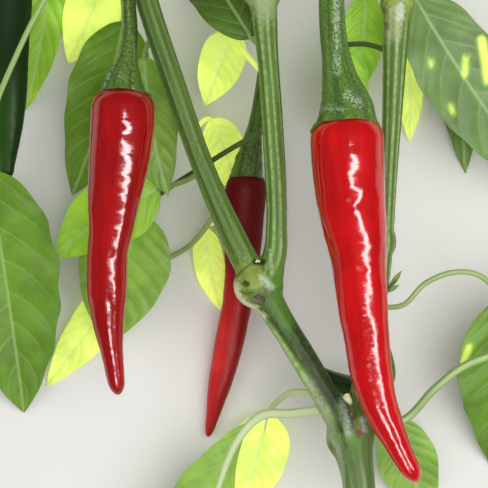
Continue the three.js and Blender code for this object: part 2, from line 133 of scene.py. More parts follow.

# Marks on the stems: spots, or lines where there are more points, on the upper side or all
# round. Each has a radius, how strong its tint is, the rise of its middle, below 0 for a pit,
# and the height of its rim. Thin lines are sharper at their edge than patches. A mark ends
# MARK_REACH to the left and right of its first point, so that it stays on its own stem.
# The shadow tint is painted shade, and the bluish white tint is painted sheen and highlights
TINTS = {
    "ash": (92, 104, 72), "wax": (160, 172, 138), "shadow": (30, 44, 16), "lush": (84, 130, 34),
    "cream": (226, 228, 186), "bloom": (196, 214, 202), "brown": (96, 70, 66),
    "rust": (120, 70, 60), "scar": (24, 68, 12)}
PATCH_EDGE = (1.7, 0.35)
LINE_EDGE = (1.5, 0.5)
THIN_LINE = 0.7
MARK_REACH = 14
MARKS = (
    dict(tint="fork", points=[(1.4, -10.4)], radius=4.8, strength=1, all_round=True),
    dict(tint="lush", points=[(8.6, -9), (9.4, -16), (12, -22)], radius=1.9, strength=0.8),
    dict(tint="scar", points=[(-0.1, -10.7), (0.9, -11.0)], radius=0.7, strength=1, pit=-0.35,
         rim=0.15),
    dict(tint="lush", points=[(-1.6, -11.8), (0.2, -12.9), (2.6, -12.7)], radius=0.4,
         strength=0.9),
    dict(tint="scar", points=[(-1.2, -12.9), (0.4, -13.6), (2.4, -13.2)], radius=0.22,
         strength=0.8, pit=-0.12),
    dict(tint="shadow", points=[(-0.8, -14.9), (0, -15.7), (0.9, -15), (0.1, -14.2),
                                (-0.8, -14.9)],
         radius=0.2, strength=0.45, pit=-0.12),
    dict(tint="brown", points=[(3.6, -15.3), (4.6, -14.9)], radius=0.6, strength=1,
         pit=-0.3, rim=0.15),
    # Painted highlight on the brown scar
    dict(tint="cream", points=[(4.1, -15)], radius=0.3, strength=0.6),
    dict(tint="brown", points=[(2.1, -16), (3.1, -16.2)], radius=0.45, strength=0.7),
    dict(tint="shadow", points=[(2.9, -14.6), (3.9, -13.9), (5.4, -14.7), (5.5, -15.8)], radius=0.3,
         strength=1, pit=-0.15),
    dict(tint="brown", points=[(6.0, -13.7)], radius=0.35, strength=0.8, pit=-0.1),
    # Painted sheen on the upper fork and up the foot of the middle stem
    dict(tint="bloom", points=[(5.0, -9.2), (7.4, -11.6)], radius=0.95, strength=0.65),
    dict(tint="bloom", points=[(7.7, -8.5), (7.1, -1.6)], radius=0.4, strength=0.4),
    dict(tint="cream", points=[(-2.6, -11.6), (-1.9, -14.6), (0, -16.8), (2.4, -18)],
         radius=1.4, strength=0.9),
    dict(tint="cream", points=[(2.4, -18), (5.4, -20)], radius=0.9, strength=0.7),
    dict(tint="shadow", points=[(-2.2, -9), (-0.3, -7.1), (1.6, -5.5), (3, -4.6)], radius=0.4,
         strength=0.5, pit=-0.25, rim=0.06),
    dict(tint="shadow", points=[(3.2, -4.9), (5.0, -4.9)], radius=0.8, strength=1, pit=-0.5),
    dict(tint="shadow", points=[(5.2, -5.2), (5.4, -8.2)], radius=0.45, strength=0.45),
    dict(tint="fork", points=[(31, -50.5)], radius=4.6, strength=0.3, all_round=True),
    dict(tint="lush", points=[(30.6, -54), (31, -57)], radius=1.8, strength=0.75),
    dict(tint="brown", points=[(42.4, 3), (42.7, -3)], radius=1.2, strength=0.45),
    # Painted light along the lit left side of the lower left stem and down the main stem
    dict(tint="wax", points=[(18.2, -38.8), (20.4, -42.9), (22.6, -48.4), (23.4, -53)],
         radius=1.4, strength=0.8),
    dict(tint="wax", points=[(23.4, -53), (25.6, -55.8), (27, -62), (27.5, -67)], radius=0.8,
         strength=0.8),
    dict(tint="shadow", points=[(20.4, -37.4), (23.7, -42.9)], radius=1.7, strength=0.7),
    dict(tint="shadow", points=[(23.7, -42.9), (26.7, -51.2)], radius=0.9, strength=0.85,
         pit=-0.2),
    dict(tint="shadow", points=[(26.7, -51.2), (28, -56)], radius=0.5, strength=0.6, pit=-0.1),
    # Painted sheen on the lit side of the lower fork
    dict(tint="bloom", points=[(27.5, -43.5), (28.3, -47), (28.9, -51.7)], radius=1.1,
         strength=0.5),
    dict(tint="shadow", points=[(29.7, -41.5), (29.7, -51.7)], radius=0.45, strength=0.8,
         pit=-0.3),
    dict(tint="lush", points=[(31, -45.6)], radius=1.1, strength=0.9),
    dict(tint="rust", points=[(30.5, -47.9)], radius=0.6, strength=0.8),
    dict(tint="rust", points=[(31.9, -51.7)], radius=1.3, strength=0.8, pit=-0.2, rim=0.12),
    # Painted highlight on a bump at the lower fork
    dict(tint="bloom", points=[(32.7, -48.4), (33.3, -51.2)], radius=0.8, strength=0.95,
         pit=0.12),
    dict(tint="ash", points=[(30.5, -58), (31.5, -76)], radius=6, strength=0.5),
    dict(tint="fork", points=[(-31, 83)], radius=5, strength=0.8, all_round=True),
    dict(tint="fork", points=[(5, 70)], radius=6.4, strength=0.9, all_round=True),
    dict(tint="wax", points=[(5, 68.5), (6, 64.5)], radius=3.6, strength=0.6),
    dict(tint="fork", points=[(42.5, 67)], radius=5, strength=0.9, all_round=True),
    dict(tint="brown", points=[(36.2, 65.6), (37.4, 67.6)], radius=1.0, strength=0.95,
         pit=-0.4, rim=0.2),
    dict(tint="shadow", points=[(38.4, 65.4), (39.6, 63.6)], radius=0.3, strength=0.6,
         pit=-0.15, rim=0.05),
    dict(tint="shadow", points=[(38.0, 63.8), (40.4, 65.6)], radius=0.25, strength=0.6,
         pit=-0.15, rim=0.05),
    dict(tint="brown", points=[(39.4, 61.0), (39.8, 59.6)], radius=0.45, strength=0.6,
         pit=-0.1),
    # Painted highlight on the right top fork
    dict(tint="bloom", points=[(43.2, 65.6), (43.0, 62.6)], radius=1.0, strength=0.85),
    dict(tint="cream", points=[(41.6, 64), (41.4, 58)], radius=2.2, strength=0.35),
)

# Fruits: route from the calyx to the tip, widest radius, radii of stalk and calyx, the
# stalk's route, how far the calyx reaches over the shoulder at even angles from the right,
# over the top, dents as (mm from the shoulder, angle, half length, half width, depth, slant in
# degrees), the length and height of the faint steps down the skin, the share of the soft bumps
# that it has, its finishes, painted glints and painted shade on the calyx as lines of
# (corners, radius, strength), and the seed of its relief. A dent of less than no depth is a
# swelling.
FRUIT_TAPER = (0.97, 1, 0.96, 0.87, 0.76, 0.68, 0.61, 0.54, 0.46, 0.35, 0.24)
SHOULDER = 0.07
TIP = 0.05
CALYX_FLARE = (0.1, 0, 0, 0, 0.01, 0.03, 0.05, 0.1, 0.32, 0.7, 1)
FRUITS = {
    "right_fruit": dict(
        points=[(27.5, 36, 44), (28.5, 14.5, 43.5), (31, -3, 42.5), (33, -22, 40.5),
                (36.5, -42, 37.5), (42.6, -56, 35), (47.8, -65.4, 33)],
        radius=9.9, pedicel=3.3, calyx=8.4,
        stalk=[(20.5, 95.5, 38), (23, 85, 41), (23.5, 71.5, 43), (24, 57.5, 44),
               (25.5, 46, 44), (27.3, 34, 44)],
        margin=(3.7, 3.1, 2.3, 2.7, 3.1, 5.6, 3.5, 3.0, 3.4, 3.1),
        dents=((19.8, 85, 2.4, 6, -0.24, 18), (24.8, 84, 1.7, 7, 0.46, 20),
               (34, 158, 6, 2.2, 0.55, 18), (31, 138, 7, 2.4, -0.3, 18), (43, 165, 5, 2.5, 0.3, 10),
               (43, 5, 14, 6, 0.6, 0), (70, 178, 6, 5, -0.4, 0), (12.2, 82, 3.6, 7, -0.3, 0),
               (41, 88, 2.4, 5, -0.22, 0), (16, 120, 5, 3, 0.12, 0), (52, 75, 3, 4, 0.14, 20),
               (60, 110, 3, 4, 0.16, -20)),
        steps=(11, 0.05), skin="ripe", cap="cap",
        frost=(([(24.8, 68), (24.8, 46)], 0.9, 0.85), ([(27.6, 39.6), (30.6, 37.4)], 1.1, 1),
               ([(21, 36.6), (26, 35.6)], 0.7, 0.5)), seed=4),
    "left_fruit": dict(
        points=[(-33, 43.5, 37), (-33.5, 28.5, 37), (-35.5, 13.5, 36), (-37.5, -4.5, 34),
                (-37.5, -21, 31), (-35, -42, 26)],
        radius=8.8, pedicel=1.8, calyx=6.6,
        stalk=[LEFT_TOP_FORK, (-32, 75, 34.5), (-31.5, 66.5, 36), (-31.2, 55.5, 37),
               (-33, 39.5, 37)],
        margin=(3.0, 2.3, 1.5, 1.4, 2.0, 2.7, 2.4, 2.1, 2.5, 2.3),
        dents=((13.2, 88, 1.7, 5, 0.28, 0), (40, 172, 4.5, 3.2, 0.4, 14),
               (34, 150, 6, 2.2, -0.25, 14), (46, 8, 3.4, 3.5, 0.35, 0), (57, 90, 6, 40, -0.5, 0),
               (74, 90, 7, 40, 0.45, 0), (47, 92, 1.5, 5, 0.2, 0), (62, 100, 2, 4, 0.15, 0)),
        steps=(4.7, 0.04), bumps=0.55, skin="ripe_dark", cap="cap_dark",
        frost=(([(-33.3, 66.6), (-33.3, 58.4), (-33.9, 52.4), (-36, 47), (-37.9, 42.6)], 0.35, 0.8),
               ([(-33.3, 45.6)], 0.6, 0.6), ([(-26.4, 45.3)], 0.8, 0.7)),
        shade=(([(-29.8, 68), (-29, 58.4), (-27.4, 50.2)], 1.3, 0.75),), seed=11),
    "middle_fruit": dict(
        points=[(1, 21, 14), (-0.3, 5.5, 12), (-0.5, -6, 9.5), (-2.1, -17.5, 7.5),
                (-5.1, -30.5, 5), (-10.5, -56, 2)],
        radius=6, pedicel=1.6, calyx=4.6,
        stalk=[MIDDLE_TOP_FORK, (7.3, 63, 25), (6, 52, 19.5), (4, 38, 16), (1, 18.5, 13.8)],
        margin=(2.4, 1.8, 1.3, 1.2, 1.7, 2.2, 1.9, 1.7, 2.0, 1.9),
        dents=((30, 100, 3, 3, 0.2, 0), (42, 80, 3, 3, 0.15, 0), (53, 90, 13, 40, -0.45, 0),
               (53, 0, 12, 4, -0.5, 0)),
        steps=(9, 0.03), skin="ripe_soft", cap="cap_dark", seed=21),
    "green_fruit": dict(
        points=[(-67.5, 76, 19), (-66.5, 57.5, 18), (-66, 41, 17), (-67.5, 18, 15)],
        radius=7, pedicel=1.9, calyx=5.4,
        stalk=[(-57.5, 107, 29), (-63, 99, 25), (-66.5, 88.5, 20), (-67.5, 73.5, 19)],
        margin=(2.6, 2.0, 1.5, 1.5, 1.9, 2.4, 2.1, 1.9, 2.2, 2.1),
        dents=((24, 95, 4, 3, 0.25, 10), (38, 80, 3, 4, 0.2, 0)),
        steps=(9, 0.03), skin="unripe", cap="cap_dark", seed=31),
    "young_fruit": dict(
        points=[(36, -42, 13.5), (30, -40.8, 13), (25, -38.8, 12.7), (18.5, -35, 12.5)],
        radius=4.3, pedicel=1.1, calyx=3.4,
        stalk=[(36.5, -23, 24), (40.5, -31, 21), (41.2, -39, 15.5), (34.8, -41.7, 13.5)],
        margin=(1.6, 1.2, 1.0, 1.0, 1.2, 1.5, 1.3, 1.2, 1.3, 1.3),
        dents=((8, 70, 2, 2, 0.15, 0),),
        steps=(5, 0.02), skin="young", cap="cap_dark", seed=41),
}

# Leaves: where the stalk starts and passes, base and tip of the blade, bow of its midrib,
# widest width, roll about the midrib, rise of each half (fold), slimness of its foot (neck),
# radius of the stalk and share of it that runs on as the midrib (rib), whether the stalk
# stands for a solid of its own, height of the margin's waves, and tones of blade and stalk
WAVE = 0.8
LEAVES = {
    "leaf_left": dict(
        start=(-42, 95, 30.5), via=((-48, 81, 30.5), (-61.5, 56, 28), (-71.5, 32, 23)),
        base=(-72, 20.5, 20), tip=(-64, -49, 1), bow=(1, 0, 5), width=31, stalk=0.8,
        own_stalk=True, tone="green", wave=0.9),
    "leaf_behind_left_fruit": dict(
        start=LEFT_TOP_FORK, via=((-34, 76.5, 25),), base=(-34, 63, 18), tip=(-49, 14, 12),
        bow=(1.5, 0, 2), width=22, tone="shade"),
    "leaf_behind_upper_stem": dict(
        start=(-24, 60, 32), base=(-28, 52.5, 23), tip=(-21.5, 13.5, 18), bow=(-1, 0, 2),
        width=15, tone="soft"),
    "leaf_bright_left": dict(
        start=(-11, 20.5, 31.5), via=((-16, 18, 21),), base=(-24, 15.5, 14),
        tip=(-53.5, -4, 12.5), bow=(-1, 2, 1), width=20, tone="bright"),
    "leaf_below_left_fruit": dict(
        start=(7.5, 32.5, 33), via=((-8, 24, 22),), base=(-30, 9, 8.5), tip=(-39.5, -29, 5.5),
        bow=(0, 2, 1), width=26, own_stalk=True, tone="soft", wave=0.5, stalk_tone="dark"),
    "leaf_sunlit_low": dict(
        start=(-7, 10, 31.5), via=((-13, 2, 15), (-18, -2, 4.5)), base=(-33.5, -10, 2.5),
        tip=(-57.5, -41.5, 1), bow=(0, 0, 1), width=13, own_stalk=True, tone="sunlit",
        stalk_tone="plain"),
    "leaf_sunlit_top": dict(
        start=LEFT_TOP_FORK, base=(-38.5, 80, 15), tip=(-50.5, 52, 8), bow=(1, 0, 1), width=17,
        tone="sunlit"),
    "leaf_by_green_fruit": dict(
        start=(-47.5, 98.5, 30), base=(-55.5, 86.5, 13), tip=(-63.5, 39, 1), bow=(2, 0, 2),
        width=12, tone="bright"),
    "leaf_top_centre": dict(
        start=(6.5, 53.5, 33), base=(2, 57, 29), tip=(-15.5, 86, 1), bow=(0, 0, 7), width=18,
        tone="deep"),
    "leaf_sunlit_centre": dict(
        start=(7, 45, 33), via=((-1, 55.5, 21),), base=(-3, 60.5, 17), tip=(-11, 39.5, 12.5),
        width=13, tone="sunlit"),
    "leaf_sunlit_middle": dict(
        start=(-15, 30.5, 31.3), base=(-9.5, 35.5, 11), tip=(-2.5, 14, 3), bow=(1, 1, 0),
        width=12, tone="sunlit"),
    "leaf_sunlit_small": dict(
        start=(-5, 6, 31.5), base=(-11, 4.5, 6.5), tip=(-6.5, -19.5, 1.5), bow=(-1, 0, -1),
        width=9, tone="sunlit"),
    "leaf_top_right_bright": dict(
        start=(36.5, 76, 28), base=(34.5, 71.5, 14), tip=(31, 41.5, 8), bow=(1, 0, 1),
        width=12, tone="bright"),
    "leaf_behind_calyx": dict(
        start=(41, 53.5, 27.5), via=((33, 56, 23),), base=(26.5, 55, 19), tip=(34, 30, 9),
        bow=(-1, 0, 2), width=13, tone="bright", stalk_tone="dark"),
    "leaf_upper_right": dict(
        start=(48.5, 78, 28), base=(47, 70, 25), tip=(87, 15.5, 10), bow=(-1, -2, 3), width=24,
        tone="grey", wave=0.7),
    "leaf_sunlit_right": dict(
        start=(42, 61.5, 28), base=(47, 58, 9), tip=(48, 29.5, 2), bow=(0.5, 0, 0), width=8,
        tone="sunlit"),
    "leaf_tip_right": dict(
        start=(43.5, 68, 26.5), via=((47.5, 66, 17),), base=(57, 64, 11), tip=(64.5, 20.5, 1),
        bow=(1, 0, 0), width=12, tone="green"),
    "leaf_right": dict(
        start=(37.3, -17.7, 24),
        via=((44.3, -17, 26), (50.4, -11, 26.5), (58, -7.9, 27), (65.2, -8.6, 26)),
        base=(72, -15, 22), tip=(72, -64.5, 1), bow=(3.7, 0, 3), width=30, own_stalk=True,
        tone="green", wave=0.7),
    "leaf_far_right": dict(
        start=LOWER_FORK, via=((45, -49, 24), (53, -40.6, 25), (60.5, -34.5, 25.6), (68, -31.3, 26)),
        base=(79, -29, 27), tip=(114, -14, 6), bow=(0, 0, 4), width=24, stalk=1.15,
        own_stalk=True, tone="green"),
    "leaf_lower_right": dict(
        start=(30, -54.5, 27), via=((36, -55, 17),), base=(43.5, -50, 9), tip=(54.5, -80, 1),
        bow=(-1, 0, 0), width=17, tone="soft"),
    "leaf_bottom": dict(
        start=(24.5, -45.5, 28.3), via=((13.5, -47.5, 22),), base=(5, -48.3, 20),
        tip=(-12, -102, 15), bow=(-2.8, 9.6, 1), width=24, roll=-0.6, fold=-0.7, neck=1.6,
        stalk=1.35, own_stalk=True, tone="soft", wave=0.4, stalk_tone="pale", rib=0.95),
    "leaf_under_bottom": dict(
        start=(22.5, -42, 28.6), via=((13.5, -42, 18),), base=(7, -49, 5), tip=(-1, -78, 1),
        bow=(0.5, 0, 0), width=17, stalk=0.9, own_stalk=True, tone="sunlit",
        stalk_tone="pale"),
}

# Painted light coming through the leaves: the glow of each tone, and lit spots as (corners,
# radius, strength), painted in lime and glowing
FULL_GLOW = 0.45
GLOW = {"sunlit": FULL_GLOW, "bright": 0.12, "soft": 0.08}
LIT_SPOTS = {
    "leaf_upper_right": (
        ([(52, 51), (52.4, 50)], 0.8, 0.7), ([(62, 51.8), (61.9, 47.6)], 0.9, 0.8),
        ([(66.5, 57), (68.5, 46)], 1.2, 1), ([(58, 38.5), (58.6, 37)], 0.8, 0.7)),
    "leaf_right": (([(63.3, -29.1), (61, -34.7)], 1.0, 0.8),),
}

# Usual fold of a blade and slimness of its foot and tip, radius of a stalk, and share of it that
# runs on as the midrib
LEAF_FOLD = 0.16
LEAF_NECK = 0.55
LEAF_POINT = 0.9
STALK_RADIUS = 0.75
RIB_SIZE = 0.4

# Side veins: how many on each side, how far they sweep towards the tip, by what power of the
# way out, and how far the two sides are apart along the midrib, as a share of their gap
VEIN_COUNT = 8
VEIN_SWEEP = 0.2
VEIN_CURVE = 1.35
VEIN_SHIFT = 0.21

# Young leaves round the tips of the branches, turned by the golden angle
GOLDEN_ANGLE = math.radians(137.5)
SHOOTS = {
    "top_left_shoot": dict(end=(-57.5, 107, 29), heading=(-0.5, 0.8, -0.2), count=3, length=26),
    "top_left_twig_shoot": dict(
        end=(-23.5, 101.5, 32), heading=(0.1, 0.9, -0.4), count=3, length=22),
    "top_middle_shoot": dict(
        end=(20.5, 95.5, 38), heading=(0.3, 0.9, -0.3), count=3, length=26),
    "top_middle_twig_shoot": dict(
        end=(-1, 89.5, 32), heading=(-0.1, 0.9, -0.5), count=2, length=20),
    "top_right_inner_shoot": dict(
        end=(32.5, 85.5, 28), heading=(-0.1, 0.9, -0.5), count=2, length=20),
    "top_right_outer_shoot": dict(
        end=(51.5, 88.5, 27.5), heading=(0.4, 0.9, -0.3), count=3, length=26),
}

# View: height of the camera, half the picture's width at a depth below it, width of the sensor,
# and the nearest and furthest place seen, in metres
VIEW_HEIGHT = 583
VIEW_DEPTH = 550
HALF_PICTURE = 67.1
SENSOR = 36.0
NEAREST, FURTHEST = 0.01, 20

# Stage: how far the floor reaches to each side, strips of light for gloss as (start, end,
# width), and places of the soft lights with the size in metres that they share. Gloss takes
# only a share of the room's light.
FLOOR_REACH = 2500
GLOSS_STRIPS = (((25, 20, 520), (625, -404, 520), 98), ((60, -412, 520), (60, -580, 520), 200))
MAIN_LIGHT = (225, -20, 480)
FILL_LIGHT = (-420, 60, 420)
LIGHT_AIM = (0, -10, 30)
SOFT_SIZE = (0.5, 0.6)
GLOSS_SHARE = 0.2


def linear(red, green, blue):
    """A colour given in 0 to 255 screen values, as the linear light a shader uses."""
    shares = (value / 255 for value in (red, green, blue))
    return tuple(s / 12.92 if s <= 0.04045 else ((s + 0.055) / 1.055) ** 2.4 for s in shares)


def toned(colour, share, added=0):
    """A colour times a share, with an amount added to each of its channels, up to 1."""
    return [min(1, channel * share + added) for channel in colour]


def colour_property(name, description, colour):
    """A colour that the panel shows, with its first value in 0 to 255 screen values."""
    return FloatVectorProperty(
        name=name, description=description, subtype="COLOR", size=3, min=0, max=1,
        default=linear(*colour))


class StemSettings(bpy.types.PropertyGroup):
    """Relief and colours of the stems."""

    cell: FloatProperty(
        name="Cell", description="Cell of the skin that joins the stems", unit="LENGTH",
        default=0.385 * MM, min=0.2 * MM, max=1 * MM)
    rib_height: FloatProperty(
        name="Rib height", description="How far the ribs stand up", unit="LENGTH",
        default=0.16 * MM, min=0, max=1 * MM)
    skin: colour_property("Skin", "Green between the ribs", (104, 142, 50))
    deep: colour_property("Deep green", "Green of the grooves and shaded sides", (40, 56, 20))
    pale: colour_property("Pale green", "Green of the ribs and lit sides", (172, 200, 130))
    fork: colour_property("Fork", "Yellow green of the swellings", (158, 176, 78))


class FruitSettings(bpy.types.PropertyGroup):
    """Gloss, relief and colours of the fruits."""

    roughness: FloatProperty(
        name="Roughness", description="Roughness of the waxy skin", subtype="FACTOR",
        default=0.14, min=0.02, max=1)
    soft_roughness: FloatProperty(
        name="Soft roughness", description="Roughness of the duller skins",
        subtype="FACTOR", default=0.3, min=0.02, max=1)
    relief: FloatProperty(
        name="Relief", description="Height of the soft bumps of the skin", unit="LENGTH",
        default=0.15 * MM, min=0, max=1 * MM)
    ripe: colour_property("Ripe", "Red of a ripe fruit", (212, 8, 16))
    ripe_deep: colour_property("Deep red", "Red of its shaded patches", (176, 2, 6))
    dark: colour_property("Dark", "Red of the left fruit", (172, 6, 10))
    dark_deep: colour_property("Deep dark red", "Red of its shaded patches", (136, 3, 6))
    # The duller skins hold painted shade at their calyx end and right side, and the pale pink of the
    # middle fruit's left side is a painted reflection
    soft: colour_property("Soft", "Red of the middle fruit", (222, 50, 50))
    soft_deep: colour_property("Deep soft red", "Red of its shaded end", (106, 2, 5))
    unripe: colour_property("Unripe", "Green of an unripe fruit", (52, 88, 34))
    unripe_deep: colour_property("Deep green", "Green of its shaded patches", (24, 48, 16))


class CalyxSettings(bpy.types.PropertyGroup):
    """Relief and colours of the calyxes and the stalks that carry the fruits."""

    rib_height: FloatProperty(
        name="Rib height", description="How far the ribs stand up", unit="LENGTH",
        default=0.2 * MM, min=0, max=1 * MM)
    skin: colour_property("Skin", "Green of the large calyx", (94, 130, 38))
    deep: colour_property("Deep green", "Green between its ribs", (50, 78, 24))
    dark: colour_property("Dark", "Green of the smaller calyxes", (96, 130, 38))
    dark_deep: colour_property("Deep dark green", "Green between their ribs", (36, 60, 20))
    # The speckle colour also paints the glints on the calyxes
    speckle: colour_property("Speckle", "Fine pale dots and bloom", (206, 224, 200))


class LeafSettings(bpy.types.PropertyGroup):
    """Thickness, relief and colours of the leaves."""

    thickness: FloatProperty(
        name="Thickness", description="Thickness of a blade", unit="LENGTH",
        default=0.4 * MM, min=0.1 * MM, max=1 * MM)
    quilt: FloatProperty(
        name="Quilting", description="Rise of a blade between its side veins", unit="LENGTH",
        default=0.32 * MM, min=0, max=1 * MM)
    # Painted light and shade in the leaf greens: shade and deep are darkened by painted shade, and
    # sunlit and lime are lit by painted light coming through
    green: colour_property("Green", "A mid green leaf", (104, 148, 34))
    shade: colour_property("Shade", "A darker leaf behind", (98, 142, 20))
    deep: colour_property("Deep", "The darkest leaf", (74, 108, 24))
    bright: colour_property("Bright", "A light green leaf", (152, 206, 50))
    soft: colour_property("Soft", "A soft, paler leaf", (130, 172, 58))
    grey: colour_property("Grey", "A greyish green leaf", (104, 138, 70))
    sunlit: colour_property("Sunlit", "A young leaf that lets light through", (222, 246, 108))
    lime: colour_property("Lime", "A spot where light comes through", (214, 240, 96))
    vein: colour_property("Vein", "Side veins of the blades", (176, 204, 130))
    stalk: colour_property("Stalk", "Leaf stalks", (146, 174, 100))
    stalk_pale: colour_property("Pale stalk", "The palest leaf stalks", (192, 208, 158))
    stalk_dark: colour_property("Dark stalk", "The darkest leaf stalks", (70, 92, 36))


class StageSettings(bpy.types.PropertyGroup):
    """Floor and lights."""

    floor: colour_property("Floor", "Plain pale floor", (232, 231, 228))
    gloss: FloatProperty(
        name="Gloss lights", description="Watts from each square metre of the lights for gloss",
        default=50, min=0)
    key: FloatProperty(
        name="Main light", description="Power of the soft light on the right", unit="POWER",
        default=2.1, min=0)
    fill: FloatProperty(
        name="Fill light", description="Power of the soft light on the left", unit="POWER",
        default=0.8, min=0)
    world: FloatProperty(
        name="Room light", description="Strength of the light from all round",
        default=0.52, min=0)


def unit(vectors):
    """Vectors at length 1."""
    vectors = np.asarray(vectors, float)
    return vectors / np.linalg.norm(vectors, axis=-1, keepdims=True)


def smooth_step(low, high, values):
    """0 below low, 1 above high and a smooth rise between them."""
    share = np.clip((np.asarray(values, float) - low) / (high - low), 0, 1)
    return share * share * (3 - 2 * share)


def smooth_value(values, share):
    """Value at a share of an even list's length, on a smooth curve through its entries."""
    first, last = 2 * values[0] - values[1], 2 * values[-1] - values[-2]
    padded = np.array([first, *values, last], float)
    place = np.clip(share, 0, 1) * (len(values) - 1)
    index = np.minimum(place.astype(int), len(values) - 2)
    f = place - index
    a, b, c, d = (padded[index + k] for k in range(4))
    return b + 0.5 * f * (c - a + f * (2 * a - 5 * b + 4 * c - d + f * (3 * (b - c) + d - a)))


def round_value(values, angles):
    """Value at an angle of a list spread evenly round a circle."""
    ring = [values[-1], *values, values[0], values[1]]
    turn = np.mod(angles, 2 * math.pi) / (2 * math.pi)
    return smooth_value(ring, (1 + turn * len(values)) / (len(ring) - 1))


def ripple(points, wavelength, seed, waves=16):
    """A smooth seeded random height over points in space, mostly between -1 and 1."""
    random = np.random.default_rng(seed)
    headings = unit(random.normal(size=(waves, 3)))
    phases = random.uniform(0, 2 * math.pi, waves)
    turns = points @ headings.T * (2 * math.pi / wavelength) + phases
    return np.sin(turns).sum(axis=-1) * math.sqrt(1 / waves)


def smooth_points(points, steps=60):
    """Many points along a centripetal Catmull-Rom curve through a few, with steps between two."""
    knots = np.array(points, float)
    knots = np.vstack([2 * knots[0] - knots[1], knots, 2 * knots[-1] - knots[-2]])
    t = np.linspace(0, 1, steps, endpoint=False)[:, None]
    parts = []
    for a, b, c, d in zip(knots, knots[1:], knots[2:], knots[3:]):
        before, here, after = (math.sqrt(np.linalg.norm(q - p)) for p, q in ((a, b), (b, c), (c, d)))
        start = ((b - a) / before - (c - a) / (before + here) + (c - b) / here) * here
        end = ((c - b) / here - (d - b) / (here + after) + (d - c) / after) * here
        parts.append(b + t * (start + t * (3 * (c - b) - 2 * start - end
                                           + t * (2 * (b - c) + start + end))))
    return np.vstack([*parts, knots[-2]])


class Path:
    """A route in space with its direction, side and upper side at each distance along it."""

    STEP = 0.25
    LEAST_MARKS = 24

    def __init__(self, fine):
        marks = np.concatenate([[0], np.cumsum(np.linalg.norm(np.diff(fine, axis=0), axis=1))])
        self.length = marks[-1]
        count = max(self.LEAST_MARKS, round(self.length / self.STEP))
        self.marks = np.linspace(0, self.length, count)
        self.places = np.stack([np.interp(self.marks, marks, fine[:, k]) for k in range(3)], 1)
        self.ahead = unit(np.gradient(self.places, axis=0))
        side = unit(np.cross((0, 0, 1), self.ahead[0]))
        sides = []
        for heading in self.ahead:
            side = unit(side - heading * side.dot(heading))
            sides.append(side)
        self.sides = np.array(sides)
        self.ups = np.cross(self.ahead, self.sides)

    def at(self, distances):
        """Place, direction, side and upper side, straight on past both ends."""
        distances = np.asarray(distances, float)
        found = [
            np.stack([np.interp(distances, self.marks, values[:, k]) for k in range(3)], -1)
            for values in (self.places, self.ahead, self.sides, self.ups)]
        past = distances - np.clip(distances, 0, self.length)
        found[0] = found[0] + past[..., None] * found[1]
        return found

    def nearest(self, point):
        """Distance along the route of the place nearest to a point."""
        return self.marks[np.argmin(np.linalg.norm(self.places - point, axis=1))]


def route(points):
    """A route that curves smoothly through a few points."""
    return Path(smooth_points(points))


def even_angles(sides):
    """Angles spread evenly round a circle, in radians."""
    return np.linspace(0, 2 * math.pi, sides, endpoint=False)


def turn_from(angles, middle):
    """Angles from a middle one, from half a turn back to half a turn on."""
    return np.mod(angles - middle + math.pi, 2 * math.pi) - math.pi


def grid_faces(rows, columns):
    """Quads between neighbouring rows of points that close round."""
    row, column = np.meshgrid(np.arange(rows - 1), np.arange(columns), indexing="ij")
    here, after = row * columns + column, row * columns + (column + 1) % columns
    return np.stack([here, after, after + columns, here + columns], -1).reshape(-1, 4).tolist()


def closed_rings(rings):
    """Points and faces of a body from rows of rings, closed at both ends by a middle point."""
    rows, columns = rings.shape[:2]
    points = np.vstack([rings.reshape(-1, 3), rings[0].mean(axis=0), rings[-1].mean(axis=0)])
    faces = grid_faces(rows, columns)
    first, last = rows * columns, rows * columns + 1
    foot = (rows - 1) * columns
    for column in range(columns):
        after = (column + 1) % columns
        faces.append([first, after, column])
        faces.append([last, foot + column, foot + after])
    return points, faces


def ring_values(**rows):
    """Values for closed_rings' points: its end points take the mean of their ring."""
    return {
        name: np.concatenate([grid.ravel(), [grid[0].mean(), grid[-1].mean()]])
        for name, grid in rows.items()}


def sweep(path, distances, radii):
    """Rings round a path, and the values that a limb's finish needs."""
    angles = even_angles(radii.shape[1])
    distances = np.broadcast_to(np.reshape(distances, (len(radii), -1)), radii.shape)
    place, _, side, up = path.at(distances)
    around, over = np.cos(angles), np.sin(angles)
    rings = place + radii[..., None] * (side * around[:, None] + up * over[:, None])
    values = ring_values(
        along=distances, ring_side=np.broadcast_to(around, radii.shape),
        ring_top=np.broadcast_to(over, radii.shape))
    return rings, values


